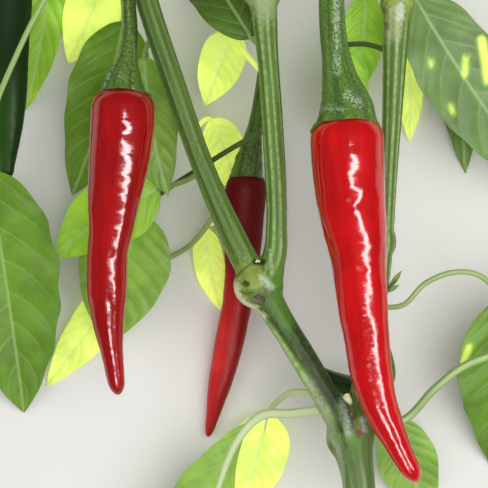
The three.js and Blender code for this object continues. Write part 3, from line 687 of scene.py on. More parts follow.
class Shape:
    """Points, faces and values of parts that become one mesh."""

    def __init__(self):
        self.points, self.faces, self.values, self.count = [], [], {}, 0

    def add(self, points, faces, values=None):
        """Adds a body, with its values by name."""
        self.faces += [[corner + self.count for corner in face] for face in faces]
        self.points.append(points)
        self.count += len(points)
        for name, numbers in (values or {}).items():
            self.values.setdefault(name, []).append(numbers)

    def add_rings(self, rings, values=None):
        """Adds a closed body from rows of rings."""
        points, faces = closed_rings(rings)
        self.add(points, faces, values)

    def limb(self, path, radii, sides=16, step=1.5, start=0, end=None):
        """A round limb whose radii are given at even steps from start to end."""
        end = path.length if end is None else end
        rows = max(4, round((end - start) / step))
        distances = np.linspace(start, end, rows)
        size = smooth_value(radii, np.linspace(0, 1, rows))
        rings, values = sweep(path, distances, np.tile(size[:, None], (1, sides)))
        self.add_rings(rings, values)

    def mesh(self, name, scale=MM, origin=(0, 0, 0)):
        """The mesh, with its values as attributes of its points."""
        mesh = bpy.data.meshes.new(name)
        mesh.from_pydata(np.vstack(self.points) * scale + origin, [], self.faces)
        for key, parts in self.values.items():
            layer = mesh.attributes.new(key, "FLOAT", "POINT")
            layer.data.foreach_set("value", np.concatenate(parts).astype(np.float32))
        mesh.shade_smooth()
        mesh.update()
        return mesh


def new_object(name, data):
    """An object in the scene that holds some data."""
    made = bpy.data.objects.new(name, data)
    bpy.context.scene.collection.objects.link(made)
    return made


def finish_piece(name, shape, material, replaced=()):
    """Makes a shape a piece of the branch, kept above the ground, in place of its solids."""
    shape.points = [np.maximum(part, (-np.inf, -np.inf, GROUND + CLEAR_OF_GROUND))
                    for part in shape.points]
    piece = new_object(name, shape.mesh(name, origin=ORIGIN))
    piece.data.materials.append(material)
    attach(piece, "root")
    if replaced:
        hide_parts(*replaced)


def feed(tree, value, socket):
    """Sets a socket to a number or colour, or links it to another node's output."""
    if isinstance(value, bpy.types.NodeSocket):
        tree.links.new(value, socket)
    elif socket.type == "RGBA" and len(value) == 3:
        socket.default_value = (*value, 1)
    else:
        socket.default_value = value


def place_node(tree, kind, inputs=None, **settings):
    """A node with its settings, and numbers, colours or links in its inputs."""
    node = tree.nodes.new(kind)
    for key, value in settings.items():
        setattr(node, key, value)
    for key, value in (inputs or {}).items():
        feed(tree, value, node.inputs[key])
    return node


def calculate(tree, operation, *values):
    """Output of a node that does one sum."""
    inputs = dict(enumerate(values))
    return place_node(tree, "ShaderNodeMath", inputs, operation=operation).outputs[0]


def times(tree, first, second):
    """Product of two values."""
    return calculate(tree, "MULTIPLY", first, second)


def ramp(tree, value, low, high, start=0, end=1):
    """A smooth rise from start to end as a value goes from low to high."""
    inputs = {"Value": value, "From Min": low, "From Max": high, "To Min": start, "To Max": end}
    node = place_node(tree, "ShaderNodeMapRange", inputs, interpolation_type="SMOOTHSTEP")
    return node.outputs[0]


def mix_colours(tree, share, first, second):
    """The first colour at share 0 and the second at 1."""
    node = place_node(tree, "ShaderNodeMix", {0: share, 6: first, 7: second}, data_type="RGBA")
    return node.outputs[2]


def surface_value(tree, name):
    """A value that the mesh holds at its points."""
    return place_node(tree, "ShaderNodeAttribute", attribute_name=name).outputs["Fac"]


def object_place(tree):
    """Place on the object in its own metres."""
    return place_node(tree, "ShaderNodeTexCoord").outputs["Object"]


def shader_group(name, inputs, outputs):
    """An empty node group, with the sockets of its two ends."""
    tree = bpy.data.node_groups.new(name, "ShaderNodeTree")
    for label, default in inputs.items():
        kind = "NodeSocketVector" if isinstance(default, tuple) else "NodeSocketFloat"
        tree.interface.new_socket(label, in_out="INPUT", socket_type=kind).default_value = default
    for label in outputs:
        tree.interface.new_socket(label, in_out="OUTPUT", socket_type="NodeSocketFloat")
    ends = tree.nodes.new("NodeGroupInput").outputs, tree.nodes.new("NodeGroupOutput").inputs
    return tree, *ends


def build_speckle():
    """Fine round dots, one in some of the cells of a mesh of cells."""
    inputs = {"Position": (0.0, 0.0, 0.0), "Scale": 1500.0, "Share": 0.5, "Size": 0.35}
    tree, given, put = shader_group("speckle", inputs, ["Dots"])
    cells = place_node(
        tree, "ShaderNodeTexVoronoi", {"Vector": given["Position"], "Scale": given["Scale"]})
    dot = ramp(tree, cells.outputs["Distance"], given["Size"], 0.0)
    pick = place_node(tree, "ShaderNodeSeparateColor", {"Color": cells.outputs["Color"]})
    chosen = calculate(tree, "LESS_THAN", pick.outputs[0], given["Share"])
    feed(tree, times(tree, dot, chosen), put["Dots"])
    return tree


def build_streaks():
    """Streaks that run along a limb, from the turn round it and the distance along it."""
    inputs = {"Side": 0.0, "Top": 0.0, "Along": 0.0, "Count": 3.0, "Length": 30.0}
    tree, given, put = shader_group("streaks", inputs, ["Streaks"])
    run = calculate(tree, "DIVIDE", given["Along"], given["Length"])
    place = place_node(
        tree, "ShaderNodeCombineXYZ",
        {0: times(tree, given["Side"], given["Count"]),
         1: times(tree, given["Top"], given["Count"]), 2: run})
    noise = place_node(
        tree, "ShaderNodeTexNoise",
        {"Vector": place.outputs[0], "Scale": 1.0, "Detail": 3.0, "Roughness": 0.6})
    feed(tree, ramp(tree, noise.outputs[0], 0.36, 0.64), put["Streaks"])
    return tree


def build_mottle():
    """Soft patches."""
    inputs = {"Position": (0.0, 0.0, 0.0), "Scale": 150.0, "Low": 0.35, "High": 0.65}
    tree, given, put = shader_group("mottle", inputs, ["Patches"])
    noise = place_node(
        tree, "ShaderNodeTexNoise",
        {"Vector": given["Position"], "Scale": given["Scale"], "Detail": 4.0, "Roughness": 0.55})
    feed(tree, ramp(tree, noise.outputs[0], given["Low"], given["High"]), put["Patches"])
    return tree


def build_veins():
    """Side veins that sweep towards the tip, from the shares along and across a blade."""
    inputs = {"Along": 0.0, "Across": 0.0, "Count": VEIN_COUNT, "Sweep": VEIN_SWEEP}
    tree, given, put = shader_group("veins", inputs, ["Veins", "Cushions"])
    out = calculate(tree, "ABSOLUTE", given["Across"])
    bend = times(tree, calculate(tree, "POWER", out, VEIN_CURVE), given["Sweep"])
    shift = times(tree, calculate(tree, "SIGN", given["Across"]), VEIN_SHIFT)
    turn = times(tree, calculate(tree, "SUBTRACT", given["Along"], bend), given["Count"])
    phase = calculate(tree, "FRACT", calculate(tree, "ADD", turn, shift))
    gap = calculate(tree, "ABSOLUTE", calculate(tree, "SUBTRACT", phase, 0.5))
    line = ramp(tree, gap, 0.435, 0.5)
    feed(tree, times(tree, line, ramp(tree, out, 1.02, 0.55)), put["Veins"])
    feed(tree, ramp(tree, gap, 0.5, 0.1), put["Cushions"])
    return tree


EFFECTS = {
    "speckle": build_speckle, "streaks": build_streaks, "mottle": build_mottle,
    "veins": build_veins,
}


def effect(tree, name, inputs):
    """Places a shared effect in a material with its own values."""
    group = bpy.data.node_groups.get(name) or EFFECTS[name]()
    node = tree.nodes.new("ShaderNodeGroup")
    node.node_tree = group
    for key, value in inputs.items():
        feed(tree, value, node.inputs[key])
    return node.outputs


def mottle(tree, place, scale, low=0.35, high=0.65):
    """Soft patches: a larger scale makes them finer, and low and high set their contrast."""
    return effect(tree, "mottle", {"Position": place, "Scale": scale, "Low": low, "High": high})[0]


def speckle(tree, place, scale, share, size=0.35):
    """Fine dots in a share of the cells, with their size as a share of a cell."""
    inputs = {"Position": place, "Scale": scale, "Share": share, "Size": size}
    return effect(tree, "speckle", inputs)[0]


def limb_streaks(tree, count, length):
    """Streaks along a limb: a higher count makes them narrower, and their length is in mm."""
    inputs = {
        "Side": surface_value(tree, "ring_side"), "Top": surface_value(tree, "ring_top"),
        "Along": surface_value(tree, "along"), "Count": count, "Length": length}
    return effect(tree, "streaks", inputs)[0]


def new_material(name, roughness, specular=0.5, coat=0.0, coat_roughness=0.05):
    """A material with its shader; the rest of its nodes are added by its maker."""
    material = bpy.data.materials.new(name)
    material.use_nodes = True
    tree = material.node_tree
    shader = tree.nodes["Principled BSDF"]
    shader.inputs["Roughness"].default_value = roughness
    shader.inputs["Specular IOR Level"].default_value = specular
    shader.inputs["Coat Weight"].default_value = coat
    shader.inputs["Coat Roughness"].default_value = coat_roughness
    return material, tree, shader


def bump(tree, height, distance, strength=1.0, normal=None):
    """A normal bent by a height, on top of another one if given."""
    inputs = {"Height": height, "Distance": distance, "Strength": strength}
    if normal is not None:
        inputs["Normal"] = normal
    return place_node(tree, "ShaderNodeBump", inputs).outputs[0]


def stem_material(settings):
    """Green stem skin with pale ribs, yellower forks, scars and a pale pith at the cut, and
    painted light, painted shade and painted sheen on its sides and in its marks.
    """
    material, tree, shader = new_material("stem_skin", 0.5, specular=0.3)
    place = object_place(tree)
    streaks = limb_streaks(tree, 3.2, 26.0)
    colour = mix_colours(tree, streaks, toned(settings.skin, 0.72), settings.skin)
    fine = limb_streaks(tree, 11.0, 12.0)
    colour = mix_colours(tree, times(tree, fine, 0.3), colour, settings.deep)
    patches = mottle(tree, place, 620.0)
    grain = mottle(tree, place, 1500.0, low=0.4, high=0.6)
    patchy = ramp(tree, patches, 0, 1, 0.45, 1)
    solid = ramp(tree, patches, 0, 1, 0.75, 1)
    # deep and pale carry painted shade and painted light on the stems' sides as well as stripes
    for name, tint, cover in (("fork", settings.fork, solid), ("rib", settings.pale, patchy),
                              ("deep", settings.deep, solid), ("pale", settings.pale, patchy)):
        share = times(tree, surface_value(tree, name), cover)
        colour = mix_colours(tree, share, colour, tint)
    dots = speckle(tree, place, 1800.0, 0.4)
    colour = mix_colours(tree, times(tree, dots, 0.4), colour, settings.pale)
    # Pale patches, painted sheen and painted highlights are broken up by the grain
    covers = {"cream": ramp(tree, grain, 0, 1, 0.65, 1), "bloom": ramp(tree, grain, 0, 1, 0.55, 1)}
    even = ramp(tree, fine, 0, 1, 1, 0.75)
    for name, tint in TINTS.items():
        share = times(tree, surface_value(tree, name), covers.get(name, even))
        colour = mix_colours(tree, share, colour, linear(*tint))
    colour = mix_colours(tree, surface_value(tree, "cut"), colour, linear(214, 222, 170))
    feed(tree, colour, shader.inputs["Base Color"])
    relief = bump(tree, fine, 0.06 * MM, 0.6)
    feed(tree, bump(tree, patches, 0.07 * MM, 0.6, relief), shader.inputs["Normal"])
    return material


def fruit_material(name, light, deep, roughness, specular, coat=0.0):
    """Fruit skin in two depths of its colour: waxy, or duller with painted shade at one end and
    one side.
    """
    waxy = coat > 0
    material, tree, shader = new_material(
        name, roughness, specular=specular, coat=coat, coat_roughness=0.045)
    place = object_place(tree)
    patches = mottle(tree, place, 85.0, low=0.3, high=0.7)
    streaks = limb_streaks(tree, 2.2, 22.0)
    share = times(tree, calculate(tree, "ADD", patches, streaks), 0.5)
    if not waxy:
        # Painted shade: darker towards the calyx end and on the right side. On the middle fruit the
        # lighter left side is a painted reflection.
        end = ramp(tree, surface_value(tree, "along"), 20, 42)
        feed(tree, ramp(tree, end, 0, 1, 2 * roughness, roughness), shader.inputs["Roughness"])
        side = ramp(tree, surface_value(tree, "ring_side"), 0.75, -0.5, 0.3, 1)
        share = times(tree, ramp(tree, share, 0, 1, 0.6, 1), end)
        share = times(tree, share, side)
    colour = mix_colours(tree, share, deep, light)
    dots = speckle(tree, place, 700.0, 0.12, size=0.3)
    colour = mix_colours(tree, times(tree, dots, 0.25), colour, toned(light, 1.5, 0.02))
    feed(tree, colour, shader.inputs["Base Color"])
    grain = mottle(tree, place, 900.0, low=0.3, high=0.7)
    relief = bump(tree, grain, 0.02 * MM, 0.35)
    far = ramp(tree, surface_value(tree, "along"), 30, 60, 0.4, 1)
    across = times(tree, limb_streaks(tree, 2.5, 0.9), far)
    feed(tree, bump(tree, across, 0.05 * MM, 0.6, relief), shader.inputs["Normal"])
    return material


def calyx_material(name, skin, deep, settings):
    """Ribbed green skin with a fine pale grain, paler along its ribs, with painted shade and
    painted glints along given lines.
    """
    material, tree, shader = new_material(name, 0.3)
    place = object_place(tree)
    streaks = times(tree, limb_streaks(tree, 5.5, 22.0), 0.65)
    colour = mix_colours(tree, streaks, skin, deep)
    rib = times(tree, surface_value(tree, "rib"), 0.4)
    colour = mix_colours(tree, rib, colour, toned(skin, 1.7))
    grain = mottle(tree, place, 1500.0, low=0.4, high=0.6)
    colour = mix_colours(tree, times(tree, grain, 0.55), colour, deep)
    dots = speckle(tree, place, 1700.0, 0.6, size=0.5)
    colour = mix_colours(tree, times(tree, dots, 0.16), colour, settings.speckle)
    # Painted shade along the shaded lines, and painted glints on the grain along the glint lines
    shade = times(tree, surface_value(tree, "shade"), 0.8)
    colour = mix_colours(tree, shade, colour, toned(deep, 0.4))
    broken = calculate(tree, "MAXIMUM", dots, ramp(tree, grain, 0, 1, 0.5, 0))
    frost = times(tree, surface_value(tree, "frost"), broken)
    colour = mix_colours(tree, frost, colour, settings.speckle)
    feed(tree, colour, shader.inputs["Base Color"])
    relief = bump(tree, dots, 0.07 * MM, 0.9)
    feed(tree, bump(tree, grain, 0.16 * MM, 0.8, relief), shader.inputs["Normal"])
    return material


def leaf_material(name, tone, settings, glow=0.0):
    """A blade in one tone, with a paler midrib, side veins and underside, and lit spots; the
    lit spots and the glow of a tone are painted light coming through.
    """
    material, tree, shader = new_material(name, 0.46, specular=0.3)
    shader.inputs["Emission Strength"].default_value = FULL_GLOW
    place = object_place(tree)
    patches = mottle(tree, place, 95.0)
    colour = mix_colours(tree, patches, toned(tone, 0.82), toned(tone, 1.12))
    cells = place_node(
        tree, "ShaderNodeTexVoronoi", {"Vector": place, "Scale": 620.0},
        feature="DISTANCE_TO_EDGE")
    net = ramp(tree, cells.outputs["Distance"], 0.12, 0.0)
    colour = mix_colours(tree, times(tree, net, 0.05), colour, settings.vein)
    veins = effect(tree, "veins", {
        "Along": surface_value(tree, "leaf_along"), "Across": surface_value(tree, "leaf_across"),
        "Count": VEIN_COUNT, "Sweep": VEIN_SWEEP})
    colour = mix_colours(tree, times(tree, veins[0], 0.2), colour, settings.vein)
    out = calculate(tree, "ABSOLUTE", surface_value(tree, "off_midrib"))
    midrib = times(tree, ramp(tree, out, 0.6, 0.2), 0.45)
    colour = mix_colours(tree, midrib, colour, settings.vein)
    under = times(tree, surface_value(tree, "underside"), 0.35)
    colour = mix_colours(tree, under, colour, toned(tone, 0.5, 0.22))
    lit = surface_value(tree, "lit")
    colour = mix_colours(tree, lit, colour, settings.lime)
    feed(tree, colour, shader.inputs["Base Color"])
    # Painted light coming through: lit spots and the tone's glow make the blade glow in its colour
    lit = calculate(tree, "MAXIMUM", lit, glow / FULL_GLOW)
    feed(tree, mix_colours(tree, lit, (0, 0, 0), colour), shader.inputs["Emission Color"])
    relief = bump(tree, veins[1], 0.18 * MM, 0.7)
    relief = bump(tree, net, 0.03 * MM, 0.5, relief)
    feed(tree, relief, shader.inputs["Normal"])
    return material


def stalk_material(name, tone, glow=0.0):
    """Leaf stalk with long streaks of paler green, paler along its upper side, and a glow of
    painted light when it is given one.
    """
    material, tree, shader = new_material(name, 0.4)
    shader.inputs["Emission Strength"].default_value = glow
    streaks = limb_streaks(tree, 2.4, 20.0)
    colour = mix_colours(tree, streaks, toned(tone, 0.75), tone)
    top = ramp(tree, surface_value(tree, "ring_top"), 0.1, 0.95)
    colour = mix_colours(tree, times(tree, top, 0.5), colour, toned(tone, 1.2))
    for socket in ("Base Color", "Emission Color"):
        feed(tree, colour, shader.inputs[socket])
    feed(tree, bump(tree, streaks, 0.04 * MM, 0.5), shader.inputs["Normal"])
    return material


def stub_material():
    """Cream stub of a fallen flower, brown at its foot."""
    material, tree, shader = new_material("stub_skin", 0.5)
    patches = mottle(tree, object_place(tree), 700.0)
    colour = mix_colours(tree, patches, linear(232, 232, 160), linear(250, 250, 215))
    foot = ramp(tree, surface_value(tree, "along"), 5.3, 3.4)
    colour = mix_colours(tree, foot, colour, linear(92, 80, 46))
    feed(tree, colour, shader.inputs["Base Color"])
    feed(tree, bump(tree, patches, 0.08 * MM, 0.6), shader.inputs["Normal"])
    return material


# Relief of the fruits in mm: soft bumps as (wavelength, share), a section that is a little
# oval and a little three-sided, as shares of the size, with their turn in radians for each
# mm, fine bands across the skin, and steps that rise over the last share of their length
FRUIT_ROWS = 300
FRUIT_SIDES = 120
ROWS_NEAR_ENDS = 0.7
CLOSED_END = 0.02
CALM_BELOW = 0.35
FRUIT_BUMPS = ((17, 1.0), (7, 0.28), (3, 0.1), (1.6, 0.05))
OVAL, OVAL_TURN = 0.012, 0.05
THREE_SIDED, THREE_SIDED_TURN = 0.010, 0.03
FINE_BAND, FINE_BAND_HEIGHT = 2.3, 0.012
BAND_STRETCH = (0.3, 0.3, 1)
STEP_RISE = 0.12
STEP_WANDER, STEP_WANDER_LENGTH = 0.3, 5
BAND_SEED, STEP_SEED = 50, 60


def fruit_size(along, length, radius):
    """Radius of a fruit without its relief, at distances from its calyx end."""
    t = np.clip(along / length, 0, 1)
    shoulder = np.sqrt(1 - np.maximum(0, 1 - t / SHOULDER) ** 2)
    tip = np.sqrt(1 - np.maximum(0, 1 - (1 - t) / TIP) ** 2)
    return radius * np.maximum(CLOSED_END, smooth_value(FRUIT_TAPER, t) * shoulder * tip)


def fruit_relief(fruit, along, angles, size, bumps):
    """How far a fruit's skin stands off its even round shape: dents, folds and soft bumps."""
    seed = fruit["seed"]
    around, over = np.cos(angles) * size, np.sin(angles) * size
    flat = np.stack([around, over, np.broadcast_to(along, size.shape)], -1)
    calm = smooth_step(0, CALM_BELOW, size / fruit["radius"])
    section = size * (OVAL * np.cos(2 * angles + along * OVAL_TURN + seed)
                      + THREE_SIDED * np.cos(3 * angles - along * THREE_SIDED_TURN))
    relief = section + bumps * fruit.get("bumps", 1) * sum(
        share * ripple(flat, wavelength, int(seed + wavelength))
        for wavelength, share in FRUIT_BUMPS)
    stretched = flat * BAND_STRETCH
    relief = relief + FINE_BAND_HEIGHT * ripple(stretched, FINE_BAND, seed + BAND_SEED)
    length, height = fruit["steps"]
    wander = STEP_WANDER * ripple(stretched, STEP_WANDER_LENGTH * length, seed + STEP_SEED)
    phase = np.mod(along / length + wander, 1)
    falling, rising = 1 - phase / (1 - STEP_RISE), (phase - 1) / STEP_RISE + 1
    relief = relief + height * np.maximum(falling, rising)
    for place, angle, half_length, half_width, depth, slant in fruit["dents"]:
        u, v = along - place, turn_from(angles, math.radians(angle)) * size
        lean = math.radians(slant)
        u, v = u * math.cos(lean) - v * math.sin(lean), u * math.sin(lean) + v * math.cos(lean)
        relief = relief - depth * np.exp(-((u / half_length) ** 2) - (v / half_width) ** 2)
    return relief * calm


def fruit_shape(fruit, bumps):
    """A fruit with its relief, whose rows lie closer at both ends."""
    path = route(fruit["points"])
    even = np.linspace(0, 1, FRUIT_ROWS)
    crowd = ROWS_NEAR_ENDS * np.sin(2 * math.pi * even) / (2 * math.pi)
    along = (even - crowd)[:, None] * path.length
    size = np.tile(fruit_size(along, path.length, fruit["radius"]), (1, FRUIT_SIDES))
    size = size + fruit_relief(fruit, along, even_angles(FRUIT_SIDES), size, bumps)
    shape = Shape()
    rings, values = sweep(path, along, size)
    shape.add_rings(rings, values)
    return shape


def gap_to_line(points, corners):
    """Distance in plan from points to a line through corners, or to one corner."""
    corners = np.array(corners if len(corners) > 1 else corners * 2, float)
    gaps = []
    for start, end in zip(corners, corners[1:]):
        step = end - start
        share = np.clip((points[:, :2] - start) @ step / max(step @ step, TINY), 0, 1)
        gaps.append(np.linalg.norm(points[:, :2] - start - share[:, None] * step, axis=1))
    return np.min(gaps, axis=0)


def near_lines(rings, lines):
    """How near in plan rings of points are to lines with a radius and a strength, up to 1."""
    near = np.zeros(rings.shape[:2])
    for corners, radius, strength in lines:
        gap = gap_to_line(rings.reshape(-1, 3), corners).reshape(near.shape) / radius
        near = np.maximum(near, strength * smooth_step(*PATCH_EDGE, gap))
    return near


# Calyxes in mm: ribs that are higher on the cap than on the stalk, for a stalk of the usual
# radius, with their share that lies below the even skin, finer ribs on the cap, waves of its
# rim, and its skin. The rim rolls past the margin and in under it, and closes inside the fruit
# by rings as (mm past the margin, share of the fruit's radius).
CALYX_ROWS = 90
CALYX_SIDES = 120
ROWS_TOWARDS_RIM = 0.8
CALYX_RIBS = 7
CALYX_RIB_TURN = 0.6
RIB_SHARPNESS = 3
RIB_BELOW = 0.4
STALK_RIB_RISE, CAP_RIB_RISE = 0.55, 0.9
USUAL_PEDICEL = 2.4
FINE_RIBS, FINE_RIB_HEIGHT, FINE_RIB_TURN = 9, 0.05, 0.9
RIM_WAVE, RIM_WAVELENGTH, RIM_WAVE_START, RIM_SEED = 0.15, 2.6, 0.6, 3
CALYX_SKIN = 0.45
ROLL_OUT, ROLL_UNDER, UNDERCUT = 0.27, 0.18, 0.3
RIM_INSIDE = ((-1.5, 0.8), (-1.6, 0.1))
INTO_FRUIT = (0, 5, 12)


def calyx_shape(fruit, rib_height):
    """Stalk that widens into a ribbed cap, with a wavy margin that lies over the shoulder."""
    body = route(fruit["points"])
    onward = [tuple(body.at(distance)[0]) for distance in INTO_FRUIT]
    path = route([*fruit["stalk"][:-1], *onward])
    shoulder = path.nearest(body.places[0])
    angles = even_angles(CALYX_SIDES)
    rim = shoulder + round_value(fruit["margin"], angles)
    share = np.linspace(0, 1, CALYX_ROWS)[:, None] ** ROWS_TOWARDS_RIM
    along = share * rim
    flare = smooth_value(CALYX_FLARE, share)
    widened = fruit["pedicel"] + (fruit["calyx"] - fruit["pedicel"]) * flare
    rib_turn = CALYX_RIBS * angles + CALYX_RIB_TURN * fruit["seed"]
    rib = np.abs(np.cos(rib_turn / 2)) ** RIB_SHARPNESS * np.ones_like(share)
    rise = rib_height * (STALK_RIB_RISE + CAP_RIB_RISE * flare) * fruit["pedicel"] / USUAL_PEDICEL
    size = widened + (rib - RIB_BELOW) * rise
    size = size + FINE_RIB_HEIGHT * np.sin(FINE_RIBS * angles + along * FINE_RIB_TURN) * flare
    flat = np.stack([np.cos(angles) * size, np.sin(angles) * size, along], -1)
    waves = ripple(flat, RIM_WAVELENGTH, fruit["seed"] + RIM_SEED)
    size = size + RIM_WAVE * waves * smooth_step(RIM_WAVE_START, 1, share)
    over = fruit_size(np.maximum(along - shoulder, 0), body.length, fruit["radius"]) + CALYX_SKIN
    size = np.where(along > shoulder, np.maximum(size, over), size)
    under = fruit_size(rim - shoulder, body.length, fruit["radius"])
    edge = [(rim + ROLL_OUT, size[-1] - CALYX_SKIN / 2), (rim + ROLL_UNDER, under - UNDERCUT),
            *((rim + past, under * inside) for past, inside in RIM_INSIDE)]
    along = np.vstack([along, *(place for place, _ in edge)])
    size = np.vstack([size, *(radius for _, radius in edge)])
    rings, values = sweep(path, along, size)
    rib = np.vstack([rib, np.tile(rib[-1], (len(edge), 1))])
    # Painted glints and painted shade on the calyx, by nearness in plan to their lines
    tints = {name: near_lines(rings, fruit.get(name, ())) for name in ("frost", "shade")}
    values.update(ring_values(rib=rib, **tints))
    shape = Shape()
    shape.add_rings(rings, values)
    return shape


def leaf_outline(share, neck):
    """Half width of a blade as a share of its width."""
    widest = neck / (neck + LEAF_POINT)
    spread = share**neck * (1 - share) ** LEAF_POINT
    return 0.5 * spread / (widest**neck * (1 - widest) ** LEAF_POINT)


def both_sides(upper, lower=None):
    """Rings from rows over the upper side and back under the lower one."""
    lower = upper if lower is None else lower
    return np.concatenate([upper, lower[:, ::-1]], axis=1)


def blade_path(leaf, steps=200):
    """Midrib of a blade, bowed off the straight line from its base to its tip."""
    base, tip = np.array(leaf["base"], float), np.array(leaf["tip"], float)
    middle = (base + tip) / 2 + 2 * np.array(leaf.get("bow", (0, 0, 0)), float)
    t = np.linspace(0, 1, steps)[:, None]
    return Path((1 - t) ** 2 * base + 2 * t * (1 - t) * middle + t * t * tip)


# Blades in mm: how their margin waves, on a usual half width, and by what power of the way
# out, how the two halves differ in phase, the trim of the outline, the slow drift and the droop
# of the sides, where the cushions between the veins start and by what power they fade, and the
# share of the thickness that the margin lacks. A narrow blade has at least a share of it.
BLADE_ROWS = 72
BLADE_COLUMNS = 33
BLADE_ENDS = (0.002, 0.998)
LEAST_HALF_WIDTH = 0.2
COLUMNS_NEAR_MIDRIB = 1.15
WAVELENGTH = 16
WAVE_POWER = 2.2
USUAL_HALF_WIDTH = 12
HALVES_APART = 1.1
TRIM, TRIM_TURNS = 0.03, 1.3
DRIFT, DRIFT_WAVELENGTH = 0.7, 24
DROOP = 0.05
CUSHION_START, CUSHION_FADE = 0.25, 4
MARGIN_THINNING, THINNING_POWER = 0.75, 6
LEAST_THICKNESS = 0.3


def add_blade(shape, leaf, settings, rows=BLADE_ROWS, columns=BLADE_COLUMNS):
    """A thin blade: folded along its midrib, waved at its margin and quilted by its veins."""
    path = blade_path(leaf)
    neck, width, wave = leaf.get("neck", LEAF_NECK), leaf["width"], leaf.get("wave", WAVE)
    share = np.linspace(*BLADE_ENDS, rows)[:, None]
    place, ahead, _, _ = path.at(share * path.length)
    side = unit(np.cross((0, 0, 1), ahead))
    roll = leaf.get("roll", 0)
    side = side * math.cos(roll) + np.cross(ahead, side) * math.sin(roll)
    face = np.cross(ahead, side)
    across = np.sin(np.linspace(1, -1, columns) * math.pi / 2)
    across = np.sign(across) * np.abs(across) ** COLUMNS_NEAR_MIDRIB
    out = np.abs(across)
    half = np.maximum(leaf_outline(share, neck) * width, LEAST_HALF_WIDTH)
    size = half / USUAL_HALF_WIDTH
    seed = int(abs(leaf["base"][0] * 7 + leaf["base"][1] * 13)) + 1
    turns = path.length / WAVELENGTH
    left = np.where(across > 0, HALVES_APART, 0.0)
    trim = 1 + TRIM * wave * np.sin(2 * math.pi * (turns * TRIM_TURNS * share + left) + seed)
    reach = across * half * trim
    fold = leaf.get("fold", LEAF_FOLD) * (np.sqrt(reach**2 + 1) - 1)
    swing = np.sin(2 * math.pi * (turns * share + left) + seed)
    waves = wave * size * out**WAVE_POWER * swing
    flat = place + side * reach[..., None]
    drift = DRIFT * wave * out * ripple(flat, DRIFT_WAVELENGTH, seed)
    droop = -DROOP * size * half * across**2 * (1 if roll == 0 else 0)
    vein_turn = VEIN_COUNT * (share - VEIN_SWEEP * out**VEIN_CURVE)
    cushion = np.abs(np.sin(math.pi * (vein_turn + np.where(across > 0, VEIN_SHIFT, -VEIN_SHIFT))))
    onset = smooth_step(0, CUSHION_START, out)
    quilt = settings.quilt / MM * cushion * np.minimum(1, size) * onset
    rise = fold + waves + drift + droop + quilt * (1 - out**CUSHION_FADE)
    full_thickness = settings.thickness / MM * np.minimum(1, LEAST_THICKNESS + size)
    thick = full_thickness * (1 - MARGIN_THINNING * out**THINNING_POWER)
    upper = flat + face * (rise + thick / 2)[..., None]
    lower = flat + face * (rise - thick / 2)[..., None]
    rings = both_sides(upper, lower)
    full = np.ones((rows, columns))
    values = ring_values(
        leaf_along=both_sides(share * full), leaf_across=both_sides(across * full),
        off_midrib=both_sides(reach), underside=both_sides(0 * full, full))
    values.update(ring_values(lit=near_lines(rings, leaf.get("lit", ()))))
    shape.add_rings(rings, values)


# Leaf stalks in mm: a wider foot, a groove along the upper side, and the way on as a midrib
# that sinks a little into the blade, from where it thins to where it ends
STALK_SIDES = 20
STALK_STEP = 0.8
FOOT_SWELL, FOOT_LENGTH = 0.25, 4
GROOVE, GROOVE_WIDTH = 0.16, 0.4
MIDRIB_SHARES = (0.15, 0.4, 0.65, 0.9)
MIDRIB_SINK = (0, 0, 0.12)
MIDRIB_ONSET = (-3, 6)
MIDRIB_TAPER = 0.85


def stalk_route(leaf):
    """Route of a stalk, on along the midrib of its blade, and the distance to the blade."""
    path = blade_path(leaf)
    rib = [tuple(path.at(share * path.length)[0] - MIDRIB_SINK) for share in MIDRIB_SHARES]
    whole = route([leaf["start"], *leaf.get("via", ()), leaf["base"], *rib])
    return whole, whole.nearest(leaf["base"])


def stalk_shape(leaf):
    """A grooved stalk that runs on as the midrib of its blade."""
    whole, blade_start = stalk_route(leaf)
    radius = leaf.get("stalk", STALK_RADIUS)
    rows = max(12, round(whole.length / STALK_STEP))
    along = np.linspace(0, whole.length, rows)
    foot = 1 + FOOT_SWELL * smooth_step(FOOT_LENGTH, 0, along)
    on_blade = smooth_step(*(blade_start + place for place in MIDRIB_ONSET), along)
    rib = 1 + (leaf.get("rib", RIB_SIZE) - 1) * on_blade
    taper = 1 - MIDRIB_TAPER * smooth_step(blade_start, whole.length, along)
    from_top = turn_from(even_angles(STALK_SIDES), math.pi / 2)
    groove = 1 - GROOVE * np.exp(-((from_top / GROOVE_WIDTH) ** 2))
    size = (radius * foot * rib * taper)[:, None] * groove
    shape = Shape()
    rings, values = sweep(whole, along, size)
    shape.add_rings(rings, values)
    return shape


def ball(centre, radii, rows=14, sides=20, from_pole=0.08):
    """Rings of an ellipsoid, which start and end a small angle from its poles."""
    turn = np.linspace(from_pole, math.pi - from_pole, rows)
    angles = even_angles(sides)
    x = -np.cos(turn)[:, None] * np.ones(sides)
    y, z = np.outer(np.sin(turn), np.cos(angles)), np.outer(np.sin(turn), np.sin(angles))
    return np.array(centre) + np.stack([x, y, z], -1) * np.array(radii)


